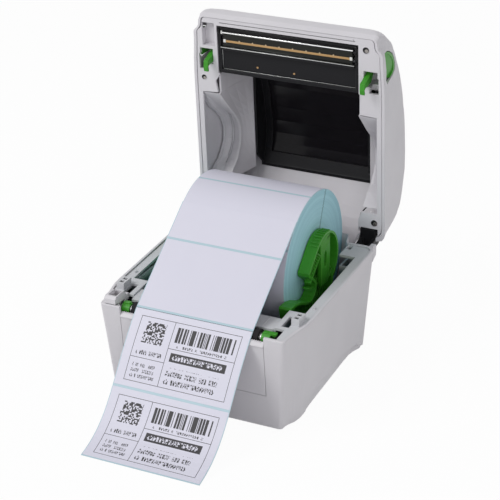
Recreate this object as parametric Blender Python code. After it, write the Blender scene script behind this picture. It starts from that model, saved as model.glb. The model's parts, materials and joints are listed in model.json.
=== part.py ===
"""Desktop label printer with a hinged lid, a label roll and a fed label strip.

Metres, +Z up, front towards -Y.  Lengths below are millimetres and are scaled
once, when a mesh is written.  Lid parts are written in closed-lid coordinates:
x across, u forwards from the hinge line, w up from the lid rim.
"""
import math

import bmesh
import bpy
from mathutils import Matrix, Vector

MM = 0.001
SHIFT_Y = -9.85
GAP = 0.35
PIN_GAP = 0.3

# Label roll, which sets the width of everything around it
ROLL_R = 63.4
ROLL_HALF = 53.5
ROLL_SPACE = 3.3

# Base shell
FRONT_Y = -81.0
REAR_Y = 101.0
RIM_Z = 90.6
RIM_SLOPE = 0.0655
SHELL_BOTTOM = 2.5
FRONT_LEAN = 0.126
SIDE_TAPER = 0.071
SIDE_SPACE = 37.5
HALF_WIDTH = ROLL_HALF + SIDE_SPACE
FRONT_HALF_WIDTH = HALF_WIDTH - 6.2
FRONT_CORNER = 3.5
REAR_CORNER = 9.0
WALL = 2.6
BAY_DEPTH = 16.0
BAY_HALF = ROLL_HALF + 4.5
BAY_EDGE = BAY_HALF + 7.0
GRIP_MID = 27.0
GRIP_HALF = 61.0
GRIP_RISE = 12.8
GRIP_DEPTH = [(-46.0, 0.2), (-22.0, 1.8), (15.0, 3.3), (76.0, 6.2),
              (90.0, 4.6), (99.0, 0.6)]

# Deck and media tub
DECK_DROP = 1.2
DECK_THICK = 2.4
TUB_HALF = HALF_WIDTH - 10.7
TUB_FRONT = -29.5
TUB_REAR = 78.0
THROAT_FRONT_HALF = HALF_WIDTH - 25.0
THROAT_REAR_HALF = HALF_WIDTH - 25.5
THROAT_REAR = 95.0
TUB_FLOOR = 35.5
ROLL_Y = REAR_Y + BAY_DEPTH - WALL - 1.0 - ROLL_R
ROLL_Z = TUB_FLOOR + ROLL_SPACE + ROLL_R
TUB_WALL = 1.8
RAMP_FRONT = -61.0
RAMP_REAR = -43.0
RAMP_DROP = 2.5
PANEL_HALF = HALF_WIDTH - 25.5
PANEL_BOTTOM = 34.5
PANEL_TOP = 85.7

# Platen and drive
PLATEN_Y = -69.0
PLATEN_Z = 84.3
PLATEN_R = 7.0
PLATEN_HALF = ROLL_HALF + 4.5
SHAFT_R = 4.0
MODULE = 1.0
PLATEN_TEETH = 16
IDLER_TEETH = 26
MOTOR_TEETH = 12
GEAR_X0 = 12.0 - HALF_WIDTH
GEAR_X1 = 17.0 - HALF_WIDTH
MOTOR_Y = -58.6
MOTOR_Z = 46.5
MOTOR_R = 13.0

# Media
CORE_R = 12.7
CORE_WALL = 1.5
HUB_R = 12.2
WEB_THICK = 0.4
PINION_TEETH = 16
HOLDER_X = ROLL_HALF + 0.8

# Lid and hinge
HINGE_Y = 110.0
RIM_OFFSET = 12.5
LID_GAP = 0.5
OPEN_DEG = -84.5
PIN_R = 2.0
LID_HALF = HALF_WIDTH
LID_WALL = 2.5
LID_FILLET = 15.0
LID_CORNER = 10.0
NOSE_CORNER = 3.0
NOSE_STEP = 4.6
WINDOW_HALF = ROLL_HALF - 3.5
WINDOW_U0 = 42.0
WINDOW_U1 = 122.0
CUP_HALF = WINDOW_HALF + 7.0
CUP_W = 50.0
LID_PROFILE = [
    (4.0, 0), (6.4, 6), (7.2, 22), (8.6, 36), (11.5, 45), (16, 52),
    (23, 60), (32, 67.2), (44, 72.4), (58, 74.8), (70, 75.2), (82.5, 74.3),
    (96, 72.4), (110, 70), (124, 66.2), (138, 61.7), (156, 53.9),
    (173, 46), (184, 38.6), (192, 30), (198, 21.5), (201.4, 14),
    (201.6, 9), (200.2, 4), (197.5, 0)]
LID_LEVELS = [0, 5, 12, 20, 29, 38, 46, 54, 61, 67, 71, 73.5, 74.8]

COLOURS = {
    "shell": ((0.73, 0.72, 0.735), 0.5, 0.0),
    "deck": ((0.70, 0.70, 0.72), 0.5, 0.0),
    "black": ((0.02, 0.02, 0.022), 0.5, 0.0),
    "green": ((0.045, 0.36, 0.04), 0.4, 0.0),
    "steel": ((0.55, 0.55, 0.56), 0.3, 1.0),
    "rubber": ((0.025, 0.025, 0.027), 0.8, 0.0),
    "nylon": ((0.8, 0.8, 0.78), 0.45, 0.0),
    "paper": ((0.86, 0.86, 0.9), 0.6, 0.0),
    "liner": ((0.42, 0.62, 0.68), 0.6, 0.0),
    "card": ((0.42, 0.32, 0.2), 0.8, 0.0),
    "smoked": ((0.012, 0.011, 0.013), 0.12, 0.0),
    "board": ((0.02, 0.16, 0.07), 0.5, 0.0),
    "ceramic": ((0.55, 0.36, 0.17), 0.35, 0.0),
    "motor": ((0.3, 0.3, 0.31), 0.35, 1.0),
    "lens": ((0.1, 0.5, 0.12), 0.25, 0.0),
}


def at_side(inset):
    """Distance from the middle plane of a feature kept by the side wall."""
    return HALF_WIDTH - inset


def rim_z(y):
    return RIM_Z + RIM_SLOPE * (y + 81.1)


HINGE_Z = rim_z(HINGE_Y) + LID_GAP - RIM_OFFSET


def smooth(t):
    t = max(0.0, min(1.0, t))
    return t * t * (3 - 2 * t)


def clear_scene():
    for item in list(bpy.data.objects):
        bpy.data.objects.remove(item, do_unlink=True)


def material_for(name, key):
    colour, roughness, metallic = COLOURS[key]
    material = bpy.data.materials.new(f"{name}_{key}")
    material.use_nodes = True
    shader = material.node_tree.nodes["Principled BSDF"]
    shader.inputs["Base Color"].default_value = (*colour, 1.0)
    shader.inputs["Roughness"].default_value = roughness
    shader.inputs["Metallic"].default_value = metallic
    return material


def body(verts, faces):
    """A bmesh closed body, lengths in millimetres, faces turned outwards."""
    mesh = bmesh.new()
    made = [mesh.verts.new(Vector(v) * MM) for v in verts]
    for face in faces:
        mesh.faces.new([made[i] for i in face])
    bmesh.ops.recalc_face_normals(mesh, faces=mesh.faces)
    return mesh


def loft(rings, closed=False):
    count = len(rings[0])
    verts = [point for ring in rings for point in ring]
    faces = []
    pairs = len(rings) if closed else len(rings) - 1
    for k in range(pairs):
        a = k * count
        b = ((k + 1) % len(rings)) * count
        for i in range(count):
            j = (i + 1) % count
            faces.append((a + i, a + j, b + j, b + i))
    if not closed:
        faces.append(tuple(range(count)))
        faces.append(tuple(range(len(verts) - count, len(verts))))
    return body(verts, faces)


def prism(outline, lo, hi, axis="X"):
    if axis == "X":
        rings = [[(t, a, b) for a, b in outline] for t in (lo, hi)]
    elif axis == "Y":
        rings = [[(a, t, b) for a, b in outline] for t in (lo, hi)]
    else:
        rings = [[(a, b, t) for a, b in outline] for t in (lo, hi)]
    return loft(rings)


def block(x0, x1, y0, y1, z0, z1):
    return prism([(x0, y0), (x1, y0), (x1, y1), (x0, y1)], z0, z1, "Z")


def turned(profile, centre, axis="X", steps=32):
    """Revolve a closed (radius, station) profile whose radii are positive."""
    rings = []
    for k in range(steps):
        angle = 2 * math.pi * k / steps
        c, s = math.cos(angle), math.sin(angle)
        ring = []
        for radius, t in profile:
            if axis == "X":
                point = (t, centre[0] + radius * c, centre[1] + radius * s)
            elif axis == "Y":
                point = (centre[0] + radius * c, t, centre[1] + radius * s)
            else:
                point = (centre[0] + radius * c, centre[1] + radius * s, t)
            ring.append(point)
        rings.append(ring)
    return loft(rings, closed=True)


def rod(radius, lo, hi, centre, axis="X", steps=32):
    outline = []
    for k in range(steps):
        angle = 2 * math.pi * k / steps
        outline.append((centre[0] + radius * math.cos(angle),
                        centre[1] + radius * math.sin(angle)))
    return prism(outline, lo, hi, axis)


def tube(outer, inner, lo, hi, centre, axis="X", steps=32):
    profile = [(inner, lo), (outer, lo), (outer, hi), (inner, hi)]
    return turned(profile, centre, axis, steps)


def arc(centre, radius, start, end, steps):
    points = []
    for k in range(steps + 1):
        angle = math.radians(start + (end - start) * k / steps)
        points.append((centre[0] + radius * math.cos(angle),
                       centre[1] + radius * math.sin(angle)))
    return points


def temporary(mesh):
    data = bpy.data.meshes.new("work")
    mesh.to_mesh(data)
    mesh.free()
    item = bpy.data.objects.new("work", data)
    bpy.context.scene.collection.objects.link(item)
    return item


def combine(main, others, operation):
    """Apply exact Booleans of bmesh bodies and return a bmesh."""
    target = temporary(main)
    cutters = [temporary(other) for other in others]
    for cutter in cutters:
        cutter.hide_render = True
        cutter.display_type = 'WIRE'
        step = target.modifiers.new("step", 'BOOLEAN')
        step.solver = 'EXACT'
        step.operation = operation
        step.object = cutter
    graph = bpy.context.evaluated_depsgraph_get()
    result = bmesh.new()
    result.from_mesh(target.evaluated_get(graph).to_mesh())
    for item in [target] + cutters:
        bpy.data.objects.remove(item, do_unlink=True)
    bmesh.ops.remove_doubles(result, verts=result.verts, dist=1e-7)
    return result


def cut(main, others):
    return combine(main, others, 'DIFFERENCE')


def fuse(main, others):
    return combine(main, others, 'UNION')


def common(main, other):
    return combine(main, [other], 'INTERSECT')


def add(name, mesh, key, origin=(0, 0, 0), parent=None):
    """Write a named part; its origin is the given joint point."""
    shift = Vector(origin) * MM
    bmesh.ops.translate(mesh, vec=-shift, verts=mesh.verts)
    data = bpy.data.meshes.new(name)
    mesh.to_mesh(data)
    mesh.free()
    data.materials.append(material_for(name, key))
    for face in data.polygons:
        face.use_smooth = True
    data.set_sharp_from_angle(angle=math.radians(32))
    item = bpy.data.objects.new(name, data)
    item.location = shift
    item.parent = parent
    if parent is None:
        item.location.y += SHIFT_Y * MM
    bpy.context.scene.collection.objects.link(item)
    return item


def mirror(mesh):
    bmesh.ops.scale(mesh, vec=(-1, 1, 1), verts=mesh.verts)
    bmesh.ops.reverse_faces(mesh, faces=mesh.faces)
    return mesh


# ---------------------------------------------------------------- base shell
def base_half_width(y):
    rise = smooth((y + 79.0) / 40.0)
    return FRONT_HALF_WIDTH + (HALF_WIDTH - FRONT_HALF_WIDTH) * rise


def bay(x):
    return 1.0 - smooth((abs(x) - BAY_HALF) / (BAY_EDGE - BAY_HALF))


def bay_stations():
    return [0.0] + [BAY_HALF + step for step in (-1.0, 1.5, 3.0, 4.0, 5.5)]


def base_plan():
    """Right half of the plan at the rim: rear centre round to front centre."""
    points = [(x, REAR_Y + BAY_DEPTH * bay(x)) for x in
              bay_stations() + [BAY_EDGE + 0.5, BAY_EDGE + 9.0]]
    centre = (HALF_WIDTH - REAR_CORNER, REAR_Y - REAR_CORNER)
    points += arc(centre, REAR_CORNER, 90, 0, 5)
    points += [(HALF_WIDTH, y) for y in
               (86, 78, 62, 27, -8, -22, -30, -34, -38)]
    points += [(base_half_width(y), y) for y in (-45, -53, -60, -67, -73)]
    centre = (FRONT_HALF_WIDTH - FRONT_CORNER, FRONT_Y + FRONT_CORNER)
    points += arc(centre, FRONT_CORNER, 0, -90, 5)
    points += [(PANEL_HALF + 0.5, FRONT_Y), (0, FRONT_Y)]
    return points


def grip_shape(y):
    t = abs((y - GRIP_MID) / GRIP_HALF)
    return math.sqrt(max(0.0, 1 - t ** 3)) if t < 1 else 0.0


def grip_depth(y):
    for (y0, d0), (y1, d1) in zip(GRIP_DEPTH, GRIP_DEPTH[1:]):
        if y0 <= y <= y1:
            return d0 + (d1 - d0) * (y - y0) / (y1 - y0)
    return 0.0


def base_point(x, y, level, inset):
    """One shell point: level 0..1 from floor edge to rim, inset inwards."""
    top = rim_z(y)
    crease = 8.5 + GRIP_RISE * grip_shape(y)
    if level < 0:
        z = SHELL_BOTTOM + (crease - SHELL_BOTTOM) * (1 + level)
        tuck = grip_depth(y) * min(1.0, -level / 0.3)
    else:
        z = crease + (top - crease) * level
        tuck = 0.0
    drop = top - z
    px = x
    py = y
    if y > 0:
        lean = bay(x) * BAY_DEPTH
        fade = smooth((z - 36.0) / 18.0)
        near = max(0.0, (y - (REAR_Y - REAR_CORNER)) / REAR_CORNER)
        py = y - min(lean, y - 92.0) * (1 - fade) if y > REAR_Y else y
        py -= min(1.0, near) * (1.5 * drop / 98.0 + inset)
    else:
        near = smooth((-46.0 - y) / 31.5)
        edge = max(0.0, (FRONT_Y + FRONT_CORNER - y) / FRONT_CORNER)
        py += near * FRONT_LEAN * drop + min(1.0, edge) * inset
    reach = abs(x) / HALF_WIDTH
    side = smooth((reach - 0.6) / 0.25)
    px -= math.copysign(side * (SIDE_TAPER * drop + inset + tuck), x)
    return (px, py, z)


def base_ring(level, inset, dz=0.0):
    right = [base_point(x, y, level, inset) for x, y in base_plan()]
    right = [(x, y, z + dz) for x, y, z in right]
    left = [(-x, y, z) for x, y, z in right[1:-1]]
    return right + left[::-1]


def shell_rings(extra):
    """Ring list of the side wall surface set in by extra."""
    table = [(-1.0, 2.6), (-0.92, 1.0), (-0.75, 0.2), (-0.3, 0.0), (0.0, 0.0),
             (0.29, 0.0), (0.38, 0.0), (0.48, 0.0)]
    rings = [base_ring(level, inset + extra) for level, inset in table]
    rings.append(base_ring(1.0, extra, -1.0))
    return rings


def make_base_shell():
    outer = shell_rings(0.0)
    outer.append(base_ring(1.0, 0.35, -0.25))
    outer.append(base_ring(1.0, 0.9))
    inner = shell_rings(WALL)
    inner.append(base_ring(1.0, WALL))
    shell = loft(outer + inner[::-1], closed=True)
    notch = block(-PANEL_HALF - GAP, PANEL_HALF + GAP, -100, FRONT_Y + 14,
                  PANEL_BOTTOM - GAP, 110)
    openings = [notch, rod(9.4, GEAR_X0 - 0.8, GEAR_X1 + 0.8,
                           (PLATEN_Y, PLATEN_Z))]
    for x0, x1, z0, z1 in PORTS:
        openings.append(block(x0 - GAP, x1 + GAP, 90, 125, z0 - GAP, z1 + GAP))
    shell = cut(shell, openings)
    ears = []
    for side in (-1, 1):
        outline = [(REAR_Y - 1.0, 88), (108, 92), (108, 100)]
        outline += arc((106, 100.5), 2.0, 0, 90, 3) + [(REAR_Y - 1.0, 102.3)]
        x0, x1 = sorted((side * at_side(6.5), side * at_side(2.7)))
        ears.append(prism(outline, x0, x1))
    shell = fuse(shell, ears)
    add("base_shell", shell, "shell")


PORTS = [(-12, 4, 14, 27), (14, 26, 14, 26), (-46, -26, 12, 26),
         (at_side(27.0), at_side(13.0), 14, 34)]


# ---------------------------------------------------------------- deck
def deck_plan():
    inset = WALL + GAP
    right = [base_point(x, y, 0.955, inset) for x, y in base_plan()]
    right = [(x, y) for x, y, _ in right]
    return right + [(-x, y) for x, y in right[1:-1]][::-1]


def sloped(outline, top, thick):
    rings = []
    for drop in (top + thick, top):
        rings.append([(x, y, rim_z(y) - drop) for x, y in outline])
    return loft(rings)


def rect(x0, x1, y0, y1):
    return [(x0, y0), (x1, y0), (x1, y1), (x0, y1)]


def tub_outline(grow):
    a = TUB_HALF + grow
    b = THROAT_FRONT_HALF + grow
    c = THROAT_REAR_HALF + grow
    front = RAMP_REAR - grow
    right = [(b, front), (b, TUB_FRONT - grow), (a, TUB_FRONT - grow),
             (a, TUB_REAR + grow), (c, TUB_REAR + grow),
             (c, THROAT_REAR + grow)]
    return right + [(-x, y) for x, y in right][::-1]


def make_deck():
    deck = sloped(deck_plan(), DECK_DROP, DECK_THICK)
    walls = prism(tub_outline(TUB_WALL), TUB_FLOOR - 2.0, 89, "Z")
    ramp = sloped(rect(-THROAT_FRONT_HALF - 1, THROAT_FRONT_HALF + 1,
                       RAMP_FRONT, RAMP_REAR + 0.5), RAMP_DROP, 2.6)
    blocks = []
    for side in (-1, 1):
        x0, x1 = sorted((side * at_side(13.5), side * at_side(6.5)))
        blocks.append(block(x0, x1, -52, -39, 88, 97.6))
        blocks.append(rod(1.4, 88, rim_z(-20) + 0.6, (side * at_side(7.0), -20),
                          "Z", 12))
    cuts = [prism(tub_outline(0.0), TUB_FLOOR, 130, "Z")]
    ramp_cut = rect(-THROAT_FRONT_HALF, THROAT_FRONT_HALF, -95,
                    RAMP_REAR + 0.2)
    deck = cut(fuse(deck, [walls] + blocks), cuts)
    deck = cut(deck, [prism(ramp_cut, 60, 130, "Z")])
    deck = fuse(deck, [ramp])
    cuts = [block(-THROAT_REAR_HALF, THROAT_REAR_HALF, TUB_REAR, 130, 56, 130)]
    for side in (-1, 1):
        x0, x1 = sorted((side * at_side(20.5), side * at_side(14.0)))
        cuts.append(block(x0, x1, -56.0, -38.5, 60, 130))
        x0, x1 = sorted((side * at_side(24.0), side * at_side(20.0)))
        cuts.append(block(x0, x1, 90, 96.5, 92, 130))
        for y in (-48.6, -42.6):
            x0, x1 = sorted((side * at_side(11.9), side * at_side(8.1)))
            cuts.append(block(x0, x1, y - 1.9, y + 1.9, 91.5, 130))
        x0, x1 = sorted((side * (HOLDER_X - 4.3), side * at_side(11.0)))
        y = PINION_Y + side * 7.0
        cuts.append(block(x0, x1, y - 5, y + 5, 30, TUB_FLOOR + 1))
    cuts.append(block(-at_side(8.4), -at_side(26.0), -100, -56.0, 80, 130))
    cuts.append(block(at_side(26.0), at_side(15.5), -79, -60, 80, 130))
    cuts.append(block(-24, 24, -55, -49, 80, 130))
    cuts.append(rod(2.3, 30, 40, (0, 28), "Z", 16))
    add("inner_deck", cut(deck, cuts), "deck")


def make_bottom():
    outline = []
    x = at_side(24.5)
    for x, y, start in ((x, 86, 0), (-x, 86, 90), (-x, -56, 180), (x, -56, 270)):
        outline += arc((x, y), 6.0, start, start + 90, 3)
    plate = prism(outline, SHELL_BOTTOM + 0.1, SHELL_BOTTOM + 2.1, "Z")
    holes = [rod(2.3, 0, 9, spot, "Z", 16) for spot in FEET]
    for k in range(7):
        x = -30 + 10 * k
        holes.append(block(x - 2, x + 2, -20, 40, 0, 9))
    add("bottom_plate", cut(plate, holes), "black")
    for index, spot in enumerate(FEET):
        profile = [(0.4, 0.0), (7.0, 0.0), (7.4, 0.5), (7.4, 2.3), (2.0, 2.3),
                   (2.0, 5.5), (3.0, 5.5), (1.8, 7.0), (0.4, 7.0)]
        foot = turned(profile, spot, "Z", 12)
        add(f"foot_{index + 1}", foot, "rubber")


FEET = [(side * at_side(31.0), y) for y in (-52, 76) for side in (-1, 1)]


def front_y(z):
    return FRONT_Y + FRONT_LEAN * (RIM_Z - z)


def make_front_panel():
    z0, z1 = PANEL_BOTTOM, PANEL_TOP - 3.0
    outer = [(front_y(z0), z0), (front_y(60), 60), (front_y(z1 - 2), z1 - 2)]
    lip = [(-80.8, z1 - 1.2), (-80.6, z1 - 0.4), (-79.8, z1 + 0.5),
           (-78.4, z1 + 1.8), (-77.3, z1 + 2.6), (-77.0, z1 + 1.8)]
    inner = [(-77.4, z1 - 0.5), (front_y(60) + 2.6, 60),
             (front_y(z0) + 2.6, z0)]
    panel = prism(outer + lip + inner, -PANEL_HALF, PANEL_HALF)
    add("front_panel", panel, "shell")


def make_gear_cover():
    top = [(-80.2, 91.4), (-80.2, 95.5), (-78.0, 97.6), (-70, 98.0),
           (-66.0, 97.8), (-62.4, 95.8), (-61.6, 92.8), (-57.0, 92.8),
           (-57.0, 91.4)]
    inner = GEAR_X1 + 3.9
    cover = prism(top, GEAR_X0 - 1.6, inner)
    cover = fuse(cover, [block(GEAR_X0 - 1.2, inner, -75.4, -57.0, 87.5, 92.5)])
    pocket = block(GEAR_X0 - 0.6, GEAR_X1 + 0.8, -78.7, -63.0, 70, 94.8)
    low = block(GEAR_X0 - 0.6, GEAR_X1 + 0.8, -64, -58.6, 70, 91.3)
    slot = block(GEAR_X0 + 0.4, GEAR_X1 + 3.0, -76.5, -62.8, 92.9, 99)
    shaft = block(GEAR_X1, inner + 0.8, -74, -64, 70, 90)
    add("gear_cover", cut(cover, [pocket, low, slot, shaft]), "shell")


# ---------------------------------------------------------------- drive
def gear_outline(teeth, centre, phase):
    pitch = MODULE * teeth / 2
    tip = pitch + 0.85 * MODULE
    root = pitch - 1.1 * MODULE
    points = []
    for k in range(teeth):
        mid = phase + 2 * math.pi * k / teeth
        quarter = 0.6 * MODULE / pitch
        for radius, offset in ((root, -1.35), (tip, -0.45), (tip, 0.45),
                               (root, 1.35)):
            angle = mid + offset * quarter
            points.append((centre[0] + radius * math.cos(angle),
                           centre[1] + radius * math.sin(angle)))
    return points


def meshing_phase(phase, teeth, angle, other_teeth):
    """Phase of the second gear so a gap faces the first gear's tooth."""
    part = ((angle - phase) * teeth / (2 * math.pi)) % 1.0
    return angle + math.pi - (0.5 - part) * 2 * math.pi / other_teeth


def idler_centre():
    """Centre that meshes with both the platen gear and the motor pinion."""
    a = MODULE * (PLATEN_TEETH + IDLER_TEETH) / 2
    b = MODULE * (IDLER_TEETH + MOTOR_TEETH) / 2
    dy = MOTOR_Y - PLATEN_Y
    dz = MOTOR_Z - PLATEN_Z
    d = math.hypot(dy, dz)
    along = (a * a - b * b + d * d) / (2 * d)
    off = math.sqrt(a * a - along * along)
    return (PLATEN_Y + (along * dy - off * dz) / d,
            PLATEN_Z + (along * dz + off * dy) / d)


def gear(teeth, centre, phase, bore, x0, x1):
    wheel = prism(gear_outline(teeth, centre, phase), x0, x1)
    return cut(wheel, [rod(bore, x0 - 1, x1 + 1, centre, steps=16)])


def make_drive():
    platen = (PLATEN_Y, PLATEN_Z)
    idler = idler_centre()
    motor = (MOTOR_Y, MOTOR_Z)
    angle = math.atan2(idler[1] - platen[1], idler[0] - platen[0])
    idler_phase = meshing_phase(0.0, PLATEN_TEETH, angle, IDLER_TEETH)
    angle = math.atan2(motor[1] - idler[1], motor[0] - idler[0])
    motor_phase = meshing_phase(idler_phase, IDLER_TEETH, angle, MOTOR_TEETH)

    add("platen_gear", gear(PLATEN_TEETH, platen, 0.0, 3.3, GEAR_X0, GEAR_X1),
        "nylon", (0, *platen))
    add("idler_gear", gear(IDLER_TEETH, idler, idler_phase, 2.3, GEAR_X0,
                           GEAR_X1), "nylon", (0, *idler))
    add("motor_pinion", gear(MOTOR_TEETH, motor, motor_phase, 1.8, GEAR_X0,
                             GEAR_X1), "steel", (0, *motor))

    shaft = rod(SHAFT_R, -at_side(21.8), at_side(24.7), platen)
    shaft = fuse(shaft, [rod(3.0, GEAR_X0 - 0.6, -at_side(22.0), platen)])
    add("platen_shaft", shaft, "steel", (0, *platen))
    roller = tube(PLATEN_R, SHAFT_R + PIN_GAP, -PLATEN_HALF, PLATEN_HALF,
                  platen, steps=40)
    add("platen_roller", roller, "rubber", (0, *platen))

    motor_body = rod(MOTOR_R, -at_side(23.0), -at_side(55.0), motor)
    axle = rod(1.5, GEAR_X0 - 0.4, -at_side(24.0), motor, steps=16)
    add("drive_motor", fuse(motor_body, [axle]), "motor")
    make_frame(platen, idler, motor)
    make_bearings(platen)


def make_frame(platen, idler, motor):
    outline = [(-76.4, 87.0), (-73.4, 60), (-69, 24), (-48, 24), (-47, 60),
               (-56, 80), (-60.4, 87)]
    left = -at_side(19.6)
    right = at_side(22.5)
    plate = prism(outline, left, left + 1.5)
    plate = fuse(plate, [prism(outline, right - 1.5, right),
                         block(left + 0.9, right - 0.9, -66, -46, 24, 25.6),
                         rod(2.0, GEAR_X0 - 0.4, left + 0.9, idler, steps=16)])
    holes = [rod(5.0, left - 2.1, left + 1.8, motor, steps=24)]
    for x0, x1 in ((left - 1.6, left + 1.9), (right - 2.5, right + 1.5)):
        holes.append(rod(5.9, x0, x1, platen, steps=24))
        holes.append(block(x0, x1, platen[0] - 5.9, platen[0] + 5.9,
                           platen[1], 95))
    add("drive_frame", cut(plate, holes), "steel")


def make_bearings(platen):
    for side, name in ((-1, "left"), (1, "right")):
        ring = tube(5.5, SHAFT_R + PIN_GAP, PLATEN_HALF + 2.5, at_side(23.0),
                    platen)
        reach = at_side(23.6) if side < 0 else at_side(18.4)
        tab = block(PLATEN_HALF + 3.5, reach, platen[0] - 2.2, platen[0] + 1.8,
                    platen[1] + 4.55, platen[1] + 6.4)
        bearing = fuse(ring, [tab])
        if side < 0:
            bearing = mirror(bearing)
        add(f"platen_bearing_{name}", bearing, "green", (0, *platen))


# ---------------------------------------------------------------- media
def make_roll():
    centre = (ROLL_Y, ROLL_Z)
    core = tube(CORE_R + CORE_WALL, CORE_R, -ROLL_HALF, ROLL_HALF, centre)
    add("roll_core", core, "card", (0, *centre))
    roll = tube(ROLL_R, CORE_R + CORE_WALL + GAP, -ROLL_HALF, ROLL_HALF,
                centre, steps=64)
    add("label_roll", roll, "paper", (0, *centre))


WEB_GAP = 0.3
WEB_LEAVE = 44.0
WEB_LEAVE_HANDLE = 60.0
WEB_END = (-171.0, 0.4)
WEB_END_HANDLE = 50.0
WEB_END_SLOPE = 12.0


def web_path():
    """Web centre line, roll tangent to the free end, and the platen index."""
    top = ROLL_R + WEB_GAP + WEB_THICK / 2
    low = PLATEN_R + WEB_GAP + WEB_THICK / 2
    across = math.hypot(ROLL_Y - PLATEN_Y, ROLL_Z - PLATEN_Z)
    s = math.asin((top - low) / across)
    s += math.atan2(ROLL_Z - PLATEN_Z, ROLL_Y - PLATEN_Y)
    normal = (-math.sin(s), math.cos(s))
    points = [(ROLL_Y + normal[0] * top, ROLL_Z + normal[1] * top)]
    end = (PLATEN_Y + normal[0] * low, PLATEN_Z + normal[1] * low)
    points.append(((points[0][0] + end[0]) / 2, (points[0][1] + end[1]) / 2))
    split = len(points)
    for k in range(2):
        a = s + (math.radians(WEB_LEAVE) - s) * k
        points.append((PLATEN_Y - low * math.sin(a),
                       PLATEN_Z + low * math.cos(a)))
    start = points[-1]
    a = math.radians(WEB_LEAVE)
    b = math.radians(WEB_END_SLOPE)
    p1 = (start[0] - WEB_LEAVE_HANDLE * math.cos(a),
          start[1] - WEB_LEAVE_HANDLE * math.sin(a))
    p2 = (WEB_END[0] + WEB_END_HANDLE * math.cos(b),
          WEB_END[1] + WEB_END_HANDLE * math.sin(b))
    for k in range(1, 21):
        t = k / 20
        point = []
        for i in range(2):
            point.append((1 - t) ** 3 * start[i] + 3 * t * (1 - t) ** 2 * p1[i]
                         + 3 * t * t * (1 - t) * p2[i] + t ** 3 * WEB_END[i])
        points.append(tuple(point))
    return points, split


def band(points, thick):
    """Closed strip outline about a centre line."""
    upper, lower = [], []
    for k, point in enumerate(points):
        a = points[max(0, k - 1)]
        b = points[min(len(points) - 1, k + 1)]
        length = math.hypot(b[0] - a[0], b[1] - a[1])
        n = (-(b[1] - a[1]) / length, (b[0] - a[0]) / length)
        upper.append((point[0] + n[0] * thick / 2,
                      point[1] + n[1] * thick / 2))
        lower.append((point[0] - n[0] * thick / 2,
                      point[1] - n[1] * thick / 2))
    return upper + lower[::-1]


def make_web():
    points, split = web_path()
    bridge = band(points[:split + 1], WEB_THICK)
    add("label_bridge", prism(bridge, -ROLL_HALF, ROLL_HALF), "paper")
    first = points[split]
    ahead = points[split + 1]
    length = math.hypot(ahead[0] - first[0], ahead[1] - first[1])
    shifted = (first[0] + GAP * (ahead[0] - first[0]) / length,
               first[1] + GAP * (ahead[1] - first[1]) / length)
    strip = band([shifted] + points[split + 1:], WEB_THICK)
    add("label_strip", prism(strip, -ROLL_HALF, ROLL_HALF), "paper")


HEAD_Y = ROLL_Y - 1.0
HEAD_Z = ROLL_Z + 2.3
HEAD_R = 27.5
HOLDER_DEPTH = 10.8
HOLDER_FRONT = [
    (-14.0, 60.0), (-22.4, 79.4), (-25.5, 90.4), (-23.8, 91.8), (-13.0, 91.0),
    (-4.0, 88.6), (4.0, 85.2), (10.5, 82.2), (16.6, 80.6), (20.8, 80.8),
    (24.2, 82.4), (26.6, 85.0), (27.5, 88.2), (27.1, 91.6), (25.2, 94.8),
    (21.0, 98.2), (15.8, 101.6), (13.2, 104.4), (12.7, 107.4)]


def make_holder(name, side):
    """Hub, plate and rack leg of one roll holder, written for the right."""
    x0 = HOLDER_X
    centre = (ROLL_Y, ROLL_Z)
    outline = HOLDER_FRONT + arc((HEAD_Y, HEAD_Z), HEAD_R, 130, -50, 15)
    outline += [(62.0, 66.0), (52.0, 52.0), (40.0, TUB_FLOOR + 0.8),
                (16.0, TUB_FLOOR + 0.8), (8.0, 50.0)]
    plate = prism(outline, x0, x0 + 2.6)
    rim = prism(outline, x0 + 1.0, x0 + HOLDER_DEPTH)
    inner = shrink(outline[:3] + outline[4:], 2.1)
    rim = cut(rim, [prism(inner, x0 - 1, x0 + 13)])
    hub = prism([(ROLL_Y + HUB_R * math.cos(t * math.pi / 14),
                  ROLL_Z + HUB_R * math.sin(t * math.pi / 14))
                 for t in range(28)], x0 - 14.0, x0 + 0.5)
    ribs = []
    for k in range(5):
        y = 22.0 + 5.0 * k
        ribs.append(prism([(y, 62.0), (y + 1.6, 62.0), (y + 14.6, 92.0),
                           (y + 13.0, 92.0)], x0 + 1.0, x0 + 6.0))
    y = PINION_Y + side * 7.0
    leg = block(x0 + 0.2, x0 + 2.3, y - 4, y + 4, 27.7, TUB_FLOOR + 20)
    part = fuse(plate, [rim, hub, leg] + ribs)
    keyhole = [rod(3.0, x0 - 20, x0 + 20, centre, steps=20),
               block(x0 - 1, x0 + 20, ROLL_Y - 1.6, ROLL_Y + 1.6,
                     ROLL_Z + 1, ROLL_Z + 17)]
    bore = rod(HUB_R - 2.0, x0 - 20, x0 - 1.2, centre, steps=28)
    part = cut(part, keyhole + [bore])
    part = fuse(part, [make_rack(side)])
    if side < 0:
        part = mirror(part)
    add(name, part, "green")


def shrink(outline, amount):
    """Offset a closed outline inwards by its corner normals."""
    area = 0.0
    count = len(outline)
    for k in range(count):
        a, b = outline[k], outline[(k + 1) % count]
        area += a[0] * b[1] - b[0] * a[1]
    turn = 1.0 if area > 0 else -1.0
    result = []
    for k in range(count):
        a, p, b = outline[k - 1], outline[k], outline[(k + 1) % count]
        n1 = unit(a, p, turn)
        n2 = unit(p, b, turn)
        mid = (n1[0] + n2[0], n1[1] + n2[1])
        scale = max(0.7, 1 + n1[0] * n2[0] + n1[1] * n2[1])
        result.append((p[0] + amount * mid[0] / scale,
                       p[1] + amount * mid[1] / scale))
    return result


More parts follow.
